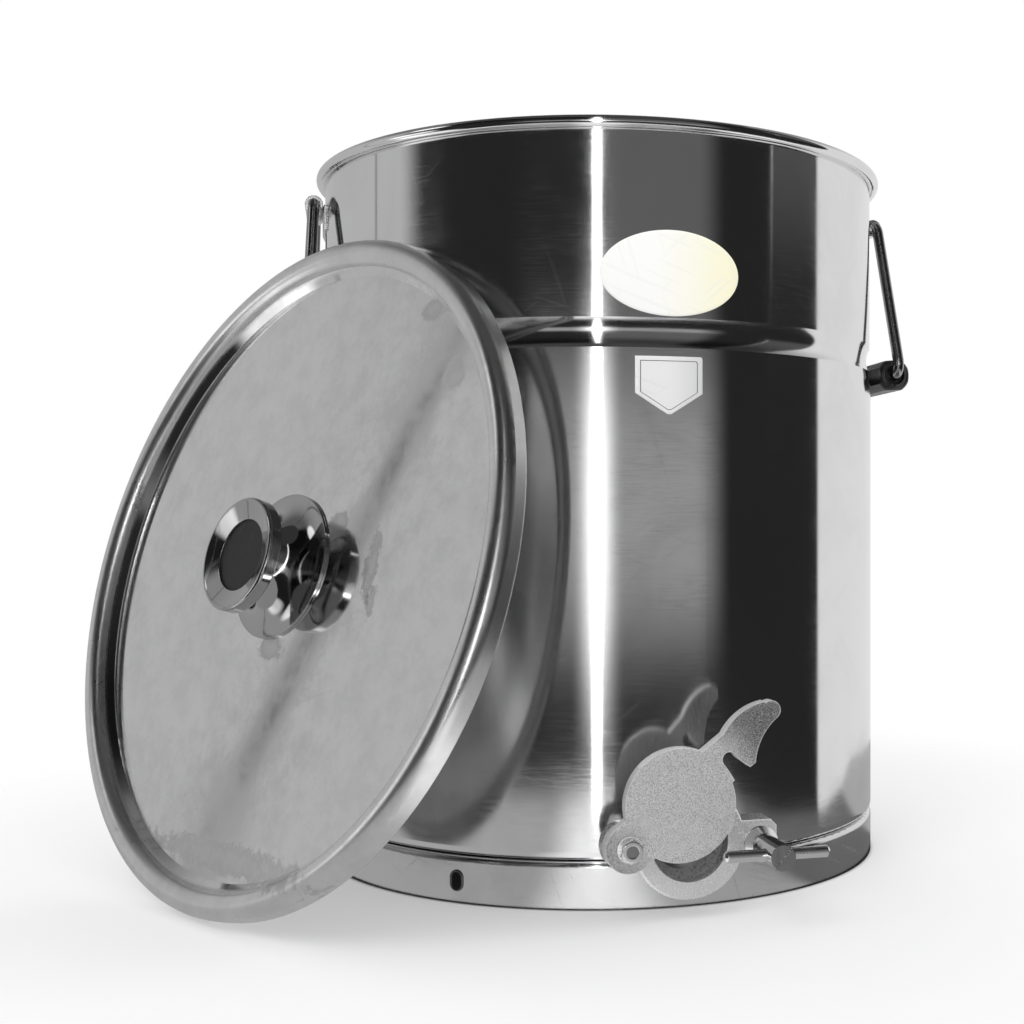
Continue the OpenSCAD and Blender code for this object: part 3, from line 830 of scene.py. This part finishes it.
@dataclass
class WallSticker:
    """A thin sticker that lies on the round wall."""

    name: str
    outline: Outline
    angle: float
    height: float
    radius: float
    thickness: float = 0.00018
    lift: float = 0.00003
    rings: int = 14

    def on_wall(self, across: float, up: float, proud: float) -> Vector:
        """Places a point of the sticker's plan on the wall.

        Args:
            across: Its place to the right of the sticker's middle, along the wall.
            up: Its place above the sticker's middle.
            proud: Its distance from the wall.

        Returns:
            The point.
        """
        turn = self.angle + across / self.radius
        reach = self.radius + proud
        return Vector((reach * math.sin(turn), -reach * math.cos(turn), self.height + up))

    def build(self, shop: Workshop, material: bpy.types.Material) -> bpy.types.Object:
        """Makes the sticker as a closed sheet with a soft edge.

        Args:
            shop: The shared workshop.
            material: The sticker's finish.

        Returns:
            The sticker.
        """
        count = len(self.outline)
        top = self.lift + self.thickness
        points = [self.on_wall(0.0, 0.0, top)]
        faces: list[tuple[int, ...]] = []
        shells = [(i / self.rings, top) for i in range(1, self.rings)]
        shells += [(0.994, top), (0.999, top - 0.35 * self.thickness), (1.0, self.lift)]
        for share, proud in shells:
            points += [self.on_wall(share * x, share * y, proud) for x, y in self.outline]
        for i in range(count):
            faces.append((0, 1 + i, 1 + (i + 1) % count))
        for ring in range(len(shells) - 1):
            a, b = 1 + ring * count, 1 + (ring + 1) * count
            faces += [(a + i, b + i, b + (i + 1) % count, a + (i + 1) % count) for i in range(count)]
        base = len(points)
        inner = [(s, self.lift) for s in (0.66, 0.33)]
        for share, proud in inner:
            points += [self.on_wall(share * x, share * y, proud) for x, y in self.outline]
        points.append(self.on_wall(0.0, 0.0, self.lift))
        edge = 1 + (len(shells) - 1) * count
        for a, b in ((edge, base), (base, base + count)):
            faces += [(a + i, a + (i + 1) % count, b + (i + 1) % count, b + i) for i in range(count)]
        last = base + count
        faces += [(last + i, last + (i + 1) % count, len(points) - 1) for i in range(count)]
        return shop.piece(self.name, points, faces, material, "tank")

    def border(
        self, shop: Workshop, material: bpy.types.Material, inset: float, width: float
    ) -> bpy.types.Object:
        """Makes a printed line inside the sticker's edge.

        Args:
            shop: The shared workshop.
            material: The line's ink.
            inset: How far in the line lies, as a share of the sticker.
            width: How wide it is, as a share of the sticker.

        Returns:
            The line.
        """
        count = len(self.outline)
        top = self.lift + self.thickness
        proud = 0.00006
        points: list[Vector] = []
        section = ((inset, 0.0), (inset, proud), (inset + width, proud), (inset + width, 0.0))
        for cut, rise in section:
            points += [self.on_wall((1 - cut) * x, (1 - cut) * y, top + rise) for x, y in self.outline]
        faces = []
        for ring in range(len(section)):
            a, b = ring * count, (ring + 1) % len(section) * count
            faces += [(a + i, a + (i + 1) % count, b + (i + 1) % count, b + i) for i in range(count)]
        return shop.piece(self.name + "_line", points, faces, material, "tank")


def smooth_outline(corners: Sequence[tuple[float, float]], step: float) -> Outline:
    """Divides an outline's straight sides into short ones.

    Args:
        corners: The outline's corners.
        step: The longest side that is wanted.

    Returns:
        The divided outline.
    """
    result: Outline = []
    for (x0, y0), (x1, y1) in zip(corners, [*corners[1:], corners[0]]):
        parts = max(1, math.ceil(math.hypot(x1 - x0, y1 - y0) / step))
        result += [(x0 + (x1 - x0) * i / parts, y0 + (y1 - y0) * i / parts) for i in range(parts)]
    return result


@dataclass
class TankBody:
    """The tank's wall, floor and skirt, with the stickers and the vent's lip."""

    upper_radius: float = 0.160
    lower_radius: float = 0.1606
    oval_size: tuple[float, float] = (0.072, 0.0425)
    oval_height: float = 0.312
    oval_angle: float = math.radians(-0.4)
    shield_size: tuple[float, float] = (0.0345, 0.0285)
    shield_height: float = 0.2567
    shield_angle: float = math.radians(-0.9)
    vent_angle: float = math.radians(-39.5)
    vent_height: float = 0.011
    vent_size: tuple[float, float] = (0.0065, 0.0095)
    lip_radius: float = 0.0006

    wall: SheetFinish = SheetFinish(
        "polished_wall",
        (0.83, 0.83, 0.835),
        roughness=0.08,
        streaks=0.06,
        films=0.03,
        scratches=0.05,
        anisotropy=0.9,
        wrap=Wrap.ROUND_TANK,
        grime=0.12,
        scuffs=0.015,
    )
    skirt: SheetFinish = SheetFinish(
        "satin_skirt",
        (0.76, 0.76, 0.765),
        roughness=0.14,
        streaks=0.07,
        films=0.06,
        scratches=0.06,
        anisotropy=0.7,
        wrap=Wrap.ROUND_TANK,
        grime=0.4,
    )
    plain: SheetFinish = SheetFinish(
        "satin_sheet_metal",
        (0.76, 0.76, 0.765),
        roughness=0.22,
        streaks=0.08,
        films=0.08,
        scratches=0.12,
        anisotropy=0.0,
        wrap=Wrap.SOLID,
        grime=0.3,
    )
    oval_film: PrintFinish = PrintFinish(
        "oval_film", (0.97, 0.968, 0.95), (0.97, 0.93, 0.66), 0.0, 0.35, -0.016, 0.04
    )
    shield_foil: PrintFinish = PrintFinish(
        "shield_foil", (0.92, 0.92, 0.92), (0.72, 0.72, 0.725), 0.15, 0.32, -0.006, 0.02
    )
    burr: BrightFinish = BrightFinish("vent_burr", (0.16, 0.16, 0.16), 0.4, 0.0003)
    line_ink: PrintFinish = PrintFinish(
        "line_ink", (0.09, 0.09, 0.09), (0.16, 0.16, 0.16), 0.0, 0.5, -0.02, 0.02
    )

    def build(self, shop: Workshop) -> None:
        """Dresses the tank's nodes and adds its stickers and lip.

        Args:
            shop: The shared workshop.
        """
        effects, lid = shop.effects, shop.lid
        wall = self.wall.build(effects, lid)
        plain = self.plain.build(effects, lid)
        shop.dress(["tank_shell"], wall)
        shop.dress(["base_ring"], self.skirt.build(effects, lid))
        shop.dress(["tank_floor", "gate_spigot"], plain)
        self.stickers(shop)
        self.vent_lip(shop, self.burr.build(effects, lid))

    def stickers(self, shop: Workshop) -> None:
        """Lays the oval and the shield on the wall.

        Args:
            shop: The shared workshop.
        """
        effects, lid = shop.effects, shop.lid
        wide, high = self.oval_size
        steps = 96
        oval = [
            (wide / 2 * math.cos(2 * math.pi * i / steps), high / 2 * math.sin(2 * math.pi * i / steps))
            for i in range(steps)
        ]
        WallSticker("oval_sticker", oval, self.oval_angle, self.oval_height, self.upper_radius).build(
            shop, self.oval_film.build(effects, lid)
        )
        wide, high = self.shield_size
        x, y = wide / 2, high / 2
        corners = [(-x, y), (-x, -0.28 * y), (-0.06 * x, -y), (0.06 * x, -y), (x, -0.28 * y), (x, 0.93 * y)]
        corners += [(0.96 * x, y)]
        shield = WallSticker(
            "shield_sticker",
            smooth_outline(corners, 0.0012),
            self.shield_angle,
            self.shield_height,
            self.lower_radius,
        )
        shield.build(shop, self.shield_foil.build(effects, lid))
        shield.border(shop, self.line_ink.build(effects, lid), 0.15, 0.022)

    def vent_lip(self, shop: Workshop, material: bpy.types.Material) -> None:
        """Makes the rolled lip round the vent slot.

        Args:
            shop: The shared workshop.
            material: The lip's finish.
        """
        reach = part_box("base_ring")[1].x
        wide, tall = self.vent_size
        end, half = wide / 2, (tall - wide) / 2
        path: Outline = []
        steps = 20
        for start, middle in ((0.0, half), (math.pi, -half)):
            for i in range(steps + 1):
                turn = start + math.pi * i / steps
                path.append((end * math.cos(turn), middle + end * math.sin(turn)))
        points: list[Vector] = []
        faces: list[tuple[int, ...]] = []
        sides = 12
        count = len(path)
        for i, (x, y) in enumerate(path):
            before, after = Vector(path[i - 1]), Vector(path[(i + 1) % count])
            run = (after - before).normalized()
            out = Vector((run.y, -run.x))
            for j in range(sides):
                turn = 2 * math.pi * j / sides
                across = x + out.x * self.lip_radius * math.cos(turn)
                up = y + out.y * self.lip_radius * math.cos(turn)
                proud = 0.35 * self.lip_radius + self.lip_radius * math.sin(turn)
                bend = self.vent_angle + across / reach
                out_to = reach + proud
                level = self.vent_height + up
                points.append(Vector((out_to * math.sin(bend), -out_to * math.cos(bend), level)))
        for i in range(count):
            for j in range(sides):
                a, b = i * sides, (i + 1) % count * sides
                k = (j + 1) % sides
                faces.append((a + j, b + j, b + k, a + k))
        shop.piece("vent_lip", points, faces, material, "tank")


@dataclass
class SwingGate:
    """The gate's casting, its blade, its pivot and its clamp screw."""

    casting: CastFinish = CastFinish(
        "gate_cast",
        (0.86, 0.86, 0.865),
        roughness=0.2,
        grain=0.0016,
        depth=0.00002,
        edge=0.0009,
        metallic=0.65,
        pitting=0.04,
        # Painted shade on the faces turned toward the tank.
        back=0.85,
    )
    blade: CastFinish = CastFinish(
        "blade_cast",
        (0.93, 0.93, 0.935),
        roughness=0.26,
        grain=0.0005,
        depth=0.0003,
        edge=0.0009,
        metallic=0.45,
        pitting=1.0,
        # Painted dark reflection on the fin, with a barer, more metallic skin there.
        fade=Fade((-0.0055, -0.19, 0.0575), 0.028, 0.05, 0.9),
        # Painted highlight on the blade's side faces.
        sides=0.8,
    )
    bright: BrightFinish = BrightFinish("turned_bright", (0.80, 0.80, 0.805), 0.13, 0.0005)
    # The last value paints shade on the screw's end faces.
    screw: BrightFinish = BrightFinish("turned_screw", (0.80, 0.80, 0.805), 0.13, 0.0005, 0.1, 0.62)

    def build(self, shop: Workshop) -> None:
        """Dresses the gate's nodes.

        Args:
            shop: The shared workshop.
        """
        shop.dress(["gate_body", "pivot_washer"], self.casting.build(shop.effects, shop.lid))
        shop.dress(["gate_blade"], self.blade.build(shop.effects, shop.lid))
        shop.dress(["pivot_nut", "clamp_washer", "tommy_bar"], self.bright.build(shop.effects, shop.lid))
        shop.dress(["pivot_bolt", "clamp_screw"], self.screw.build(shop.effects, shop.lid))


@dataclass
class DropHandles:
    """The two wire handles with their straps and grips."""

    strap: BrightFinish = BrightFinish("strap_metal", (0.74, 0.74, 0.745), 0.2, 0.0004)
    wire: BrightFinish = BrightFinish("handle_wire", (0.36, 0.36, 0.365), 0.16, 0.0003, 0.12)
    grip: MouldedFinish = MouldedFinish("grip_plastic", (0.012, 0.012, 0.013), (0.05, 0.05, 0.052), 0.34)

    def build(self, shop: Workshop) -> None:
        """Dresses the handles' nodes.

        Args:
            shop: The shared workshop.
        """
        sides = ("right", "left")
        shop.dress([f"bracket_{s}" for s in sides], self.strap.build(shop.effects, shop.lid))
        shop.dress([f"bail_{s}" for s in sides], self.wire.build(shop.effects, shop.lid))
        shop.dress([f"grip_{s}" for s in sides], self.grip.build(shop.effects, shop.lid))


@dataclass
class LeaningLid:
    """The lid with its knob."""

    sheet: SheetFinish = SheetFinish(
        "lid_sheet",
        (0.84, 0.84, 0.845),
        roughness=0.05,
        streaks=0.02,
        films=0.05,
        scratches=0.04,
        anisotropy=0.0,
        wrap=Wrap.LID_FACE,
        stains=(
            Stain((-0.023, 0.041), (0.006, 0.009), 1.6, 0.42),
            Stain((0.041, 0.007), (0.007, 0.012), 1.8, 0.45),
            Stain((-0.002, 0.074), (0.020, 0.006), 2.4, 0.4),
            Stain((0.015, 0.079), (0.009, 0.004), 2.6, 0.35),
            Stain((0.143, 0.015), (0.009, 0.085), 2.4, 0.32),
            Stain((-0.129, 0.078), (0.007, 0.010), 1.4, 0.3),
            Stain((-0.094, 0.105), (0.009, 0.009), 1.6, 0.22),
        ),
        grime=0.4,
        scuffs=0.05,
        mottle=0.13,
        rim=Rim(0.1565, 0.1585, 0.22),
        # Painted shade on the lid's underside.
        inside=0.6,
    )
    knob: BrightFinish = BrightFinish("knob_polish", (0.46, 0.46, 0.465), 0.05, 0.0006, 0.04)
    fixing: BrightFinish = BrightFinish("knob_fixing", (0.76, 0.76, 0.765), 0.2, 0.0004)
    plug: MouldedFinish = MouldedFinish("plug_plastic", (0.008, 0.008, 0.008), (0.02, 0.02, 0.02), 0.5)

    def build(self, shop: Workshop) -> None:
        """Dresses the lid's nodes.

        Args:
            shop: The shared workshop.
        """
        effects, lid = shop.effects, shop.lid
        shop.dress(["lid_pan"], self.sheet.build(effects, lid))
        shop.dress(["lid_knob"], self.knob.build(effects, lid))
        shop.dress(["knob_screw", "knob_washer"], self.fixing.build(effects, lid))
        shop.dress(["knob_plug"], self.plug.build(effects, lid))


@dataclass(frozen=True)
class Lamp:
    """A soft lamp that faces the tank."""

    name: str
    place: tuple[float, float, float]
    size: float
    power: float


@dataclass(frozen=True)
class Flare:
    """A bright patch of the screen, by its bearing and its height."""

    bearing: float
    height: float
    half_width: float
    half_height: float
    level: float


@dataclass(frozen=True)
class Panel:
    """A plain panel in the studio, by its bearings in degrees, its grey and its heights in metres."""

    start: float
    end: float
    level: float
    soft: float = 4.0
    low: float = -9.0
    high: float = 9.0


@dataclass
class Studio:
    """The camera, the floor, the lamps, the white background and the screen that the metal mirrors."""

    camera_place: tuple[float, float, float] = (-0.2005, -0.8483, 0.1912)
    camera_turn: float = math.radians(-15.3)
    sensor: float = 36.0
    lens: float = 51.16
    shift: tuple[float, float] = (-0.1348, 0.0063)
    floor_reach: float = 0.56
    floor_fade: tuple[float, float] = (0.33, 0.54)
    floor_colour: Colour = (0.60, 0.60, 0.60)
    floor_glow: float = 0.35
    sky: float = 0.85
    screen_reach: float = 2.5
    screen_low: float = -1.8
    screen_high: float = 4.4
    strip_power: float = 7.0
    strip_turn: float = 1.2
    strip_half: float = 1.3
    glow_half: float = 12.0
    glow_share: float = 0.2
    flares: tuple[Flare, ...] = (
        Flare(-72.0, -1.2, 19.0, 0.95, 1.0),
        Flare(-71.0, 0.22, 14.0, 0.45, 1.2),
        Flare(-72.0, 2.05, 10.0, 0.6, 1.5),
    )
    lamps: tuple[Lamp, ...] = (
        Lamp("key_lamp", (-1.1, -1.3, 1.5), 1.2, 13.0),
        Lamp("fill_lamp", (1.5, -0.7, 1.1), 1.0, 5.0),
        Lamp("back_lamp", (0.4, 1.6, 1.4), 1.0, 5.0),
    )
    room: float = 0.02
    panels: tuple[Panel, ...] = (
        Panel(-200.0, -76.0, 0.5, 7.0),
        Panel(-97.0, -96.2, 0.1, 0.4),
        Panel(-26.0, 46.0, 0.35, 8.0, -0.05, 0.5),
        Panel(2.0, 46.0, 0.12, 6.0, 0.5),
        Panel(74.0, 97.0, 0.09, 1.0, 0.82),
        Panel(72.8, 73.4, 0.6, 0.3, 0.82),
        Panel(98.5, 200.0, 0.8, 1.0),
    )
    edge_height: float = 0.12
    dimming: tuple[float, float] = (1.2, 3.0)
    ceiling: float = 0.06
    under: float = 0.02
    board_inner: float = 0.163
    board_edge: Bands = (
        (-180, 0.46), (42, 0.46), (58, 0.34), (80, 0.31), (96, 0.36), (110, 0.46), (180, 0.46)
    )
    board: float = 0.42
    board_panels: tuple[Panel, ...] = (Panel(-8.0, 12.0, 1.0, 6.0), Panel(46.0, 95.0, 0.15, 3.0))

    def build(self) -> None:
        """Makes everything that isn't part of the tank."""
        self.camera()
        self.world()
        self.floor()
        self.screen()
        for lamp in self.lamps:
            self.lamp(lamp)
        bpy.context.scene.view_settings.view_transform = "Standard"

    def camera(self) -> None:
        """Sets up the camera where the photograph was taken from."""
        data = bpy.data.cameras.new("camera")
        data.sensor_width = self.sensor
        data.lens = self.lens
        data.shift_x, data.shift_y = self.shift
        data.clip_start = 0.01
        thing = bpy.data.objects.new("camera", data)
        thing.location = self.camera_place
        thing.rotation_euler = Euler((math.pi / 2, 0.0, self.camera_turn))
        bpy.context.scene.collection.objects.link(thing)
        bpy.context.scene.camera = thing

    @staticmethod
    def seen(graph: Graph) -> Socket:
        """Tells the camera's rays, and those that mirrors and glass send on, from the light's.

        Args:
            graph: The graph of the background or the floor.

        Returns:
            The socket, 1 where the ray is one that is looked along.
        """
        path = graph.node("ShaderNodeLightPath")
        seen = graph.sum("MAXIMUM", path.outputs["Is Camera Ray"], path.outputs["Is Glossy Ray"])
        return graph.sum("MAXIMUM", seen, path.outputs["Is Transmission Ray"])

    def world(self) -> None:
        """Makes the background white for the camera and for what metal mirrors, and softer as a light."""
        world = bpy.data.worlds.new("studio")
        bpy.context.scene.world = world
        world.use_nodes = True
        world.node_tree.nodes.clear()
        graph = Graph(world.node_tree)
        back = graph.node("ShaderNodeBackground")
        back.inputs["Color"].default_value = WHITE
        graph.feed(back.inputs["Strength"], graph.span(self.seen(graph), 0.0, 1.0, self.sky, 1.0))
        leave = graph.node("ShaderNodeOutputWorld")
        graph.feed(leave.inputs["Surface"], back.outputs[0])

    def floor(self) -> None:
        """Lays a pale round floor that fades into the background."""
        steps = 96
        edge = [2 * math.pi * i / steps for i in range(steps)]
        mesh = bpy.data.meshes.new("floor")
        points = [(self.floor_reach * math.cos(a), self.floor_reach * math.sin(a), 0.0) for a in edge]
        mesh.from_pydata(points, [], [tuple(range(steps))])
        face = Surface.new("pale_floor")
        graph = face.graph
        place = graph.node("ShaderNodeTexCoord").outputs["Object"]
        reach = graph.vector("LENGTH", place).outputs["Value"]
        start, end = self.floor_fade
        glow = graph.span(reach, self.board_inner - 0.004, self.board_inner, 0.0, self.floor_glow)
        face.set(
            Base_Color=(*self.floor_colour, 1.0),
            Roughness=0.9,
            Specular_IOR_Level=0.0,
            Emission_Color=WHITE,
            Emission_Strength=graph.times(glow, self.seen(graph)),
            Alpha=graph.span(reach, start, end, 1.0, 0.0),
        )
        mesh.materials.append(face.material)
        thing = bpy.data.objects.new("floor", mesh)
        thing.location.z = -0.0004
        thing.visible_glossy = False
        bpy.context.scene.collection.objects.link(thing)

    def screen(self) -> None:
        """Stands the mirrored screen about the tank, and lays a ceiling, a board and a dark panel under it."""
        steps = 120
        ring = [2 * math.pi * i / steps for i in range(steps)]
        points = [
            (self.screen_reach * math.cos(turn), self.screen_reach * math.sin(turn), z)
            for z in (self.screen_low, self.screen_high)
            for turn in ring
        ]
        faces = [(i, steps + i, steps + (i + 1) % steps, (i + 1) % steps) for i in range(steps)]
        self.panel("mirror_screen", points, faces, self.screen_material())
        disc = [tuple(range(steps))]
        self.panel("mirror_ceiling", points[steps:], disc, self.plain_material("dim_ceiling", self.ceiling))
        board = [(self.board_inner * math.cos(turn), self.board_inner * math.sin(turn), 0.0) for turn in ring]
        self.panel("mirror_under", list(board), disc, self.plain_material("dark_under", self.under))
        for turn in ring:
            reach = self.level(self.board_edge, math.degrees(turn - self.camera_turn) + 90.0)
            board.append((reach * math.cos(turn), reach * math.sin(turn), 0.0))
        self.panel("mirror_board", board, faces, self.board_material())

    @staticmethod
    def panel(
        name: str,
        points: Sequence[tuple[float, float, float]],
        faces: Sequence[tuple[int, ...]],
        material: bpy.types.Material,
    ) -> None:
        """Makes a panel of the studio that only mirrors show.

        Args:
            name: The panel's name.
            points: Its points in metres.
            faces: Its faces.
            material: Its material.
        """
        mesh = bpy.data.meshes.new(name)
        mesh.from_pydata(points, [], faces)
        mesh.materials.append(material)
        thing = bpy.data.objects.new(name, mesh)
        bpy.context.scene.collection.objects.link(thing)
        for ray in ("camera", "diffuse", "transmission", "volume_scatter", "shadow"):
            setattr(thing, "visible_" + ray, False)

    def bearing(self, graph: Graph) -> tuple[Socket, Socket]:
        """Gives a point's bearing from the camera's side, and its place.

        Args:
            graph: The graph of the panel's material.

        Returns:
            The bearing in radians, positive to the right, and the place.
        """
        place = graph.node("ShaderNodeTexCoord").outputs["Object"]
        turn = self.camera_turn
        across = graph.vector("DOT_PRODUCT", place, (math.cos(turn), math.sin(turn), 0.0)).outputs["Value"]
        toward = graph.vector("DOT_PRODUCT", place, (math.sin(turn), -math.cos(turn), 0.0)).outputs["Value"]
        return graph.sum("ARCTAN2", across, toward), place

    @staticmethod
    def level(bands: Bands, bearing: float) -> float:
        """Reads a level off bands.

        Args:
            bands: Bearings in degrees with their levels.
            bearing: The bearing in degrees.

        Returns:
            The level there.
        """
        bearing = (bearing + 180.0) % 360.0 - 180.0
        for (start, low), (end, high) in zip(bands, bands[1:]):
            if bearing <= end:
                return low + (high - low) * (bearing - start) / (end - start)
        return bands[-1][1]

    def hang(
        self, graph: Graph, ground: Value, panels: Iterable[Panel], angle: Socket, height: Socket
    ) -> Value:
        """Hangs panels one over another.

        Args:
            graph: The graph of the material.
            ground: The level behind the panels.
            panels: The panels, from the back to the front.
            angle: The bearing in radians.
            height: The height in metres.

        Returns:
            The level with the panels.
        """
        for panel in panels:
            soft, edge = math.radians(panel.soft), self.edge_height
            start, end = math.radians(panel.start), math.radians(panel.end)
            share = graph.span(angle, start - soft, start + soft)
            share = graph.times(share, graph.span(angle, end - soft, end + soft, 1.0, 0.0))
            share = graph.times(share, graph.span(height, panel.low - edge, panel.low + edge))
            share = graph.times(share, graph.span(height, panel.high - edge, panel.high + edge, 1.0, 0.0))
            ground = graph.sum("MULTIPLY_ADD", share, graph.sum("SUBTRACT", panel.level, ground), ground)
        return ground

    @staticmethod
    def glowing(name: str) -> tuple[bpy.types.Material, Graph, bpy.types.Node]:
        """Makes a material that only glows.

        Args:
            name: The material's name.

        Returns:
            The material, its graph and its shader.
        """
        material = bpy.data.materials.new(name)
        material.use_nodes = True
        material.node_tree.nodes.clear()
        graph = Graph(material.node_tree)
        glow = graph.node("ShaderNodeEmission")
        leave = graph.node("ShaderNodeOutputMaterial")
        graph.feed(leave.inputs["Surface"], glow.outputs[0])
        return material, graph, glow

    def plain_material(self, name: str, level: float) -> bpy.types.Material:
        """Makes a panel of one grey.

        Args:
            name: The material's name.
            level: The grey.

        Returns:
            The panel's material.
        """
        material, _, glow = self.glowing(name)
        glow.inputs["Strength"].default_value = level
        return material

    def board_material(self) -> bpy.types.Material:
        """Makes the grey board round the foot, with a light and a dark part.

        Returns:
            The board's material.
        """
        material, graph, glow = self.glowing("grey_board")
        angle, place = self.bearing(graph)
        split = graph.split(place)
        level = self.hang(graph, self.board, self.board_panels, angle, split[2])
        graph.feed(glow.inputs["Strength"], level)
        return material

    def screen_material(self) -> bpy.types.Material:
        """Makes the screen's panels, and its bright strip.

        Returns:
            The screen's material.
        """
        material, graph, glow = self.glowing("screen_panels")
        angle, place = self.bearing(graph)
        split = graph.split(place)
        height = split[2]
        panels = self.hang(graph, self.room, self.panels, angle, height)
        panels = graph.times(panels, graph.span(height, *self.dimming, 1.0, 0.35))
        for flare in self.flares:
            aside = graph.sum("SUBTRACT", angle, math.radians(flare.bearing))
            above = graph.sum("SUBTRACT", height, flare.height)
            aside = graph.sum("DIVIDE", aside, math.radians(flare.half_width))
            above = graph.sum("DIVIDE", above, flare.half_height)
            away = graph.sum("ADD", graph.times(aside, aside), graph.times(above, above))
            panels = graph.sum("ADD", panels, graph.span(away, 0.3, 1.0, flare.level, 0.0))
        half = math.radians(self.strip_half)
        offset = graph.sum("ABSOLUTE", graph.sum("SUBTRACT", angle, math.radians(self.strip_turn)))
        level = graph.sum("ABSOLUTE", graph.sum("SUBTRACT", height, self.camera_place[2]))
        strip = graph.span(offset, half * 0.5, half * 1.6, 1.0, 0.0)
        strip = graph.times(strip, graph.span(level, 0.1, 1.9, 1.0, 0.3))
        spread = graph.span(offset, 0.0, math.radians(self.glow_half), 1.0, 0.0)
        halo = graph.times(graph.sum("POWER", spread, 2.0), graph.span(level, 0.1, 0.6, 1.0, 0.0))
        core = graph.sum("ADD", strip, graph.times(halo, self.glow_share))
        strength = graph.sum("ADD", panels, graph.times(core, self.strip_power))
        graph.feed(glow.inputs["Strength"], strength)
        return material

    def lamp(self, lamp: Lamp) -> None:
        """Hangs a soft lamp that mirrors don't show.

        Args:
            lamp: The lamp.
        """
        data = bpy.data.lights.new(lamp.name, "AREA")
        data.shape = "DISK"
        data.size = lamp.size
        data.energy = lamp.power
        thing = bpy.data.objects.new(lamp.name, data)
        thing.location = lamp.place
        aim = Vector((0.0, 0.0, 0.18)) - Vector(lamp.place)
        thing.rotation_euler = aim.to_track_quat("-Z", "Y").to_euler()
        thing.visible_glossy = False
        bpy.context.scene.collection.objects.link(thing)


def main() -> None:
    """Builds and dresses everything in order."""
    logging.basicConfig(level=logging.INFO, format="%(message)s")
    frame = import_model()
    Studio().build()
    shop = Workshop(frame["nodes"], Effects(), LidPlace())
    for assembly in (TankBody(), SwingGate(), DropHandles(), LeaningLid()):
        assembly.build(shop)
    bpy.context.view_layer.update()


if __name__ == "__main__":
    main()
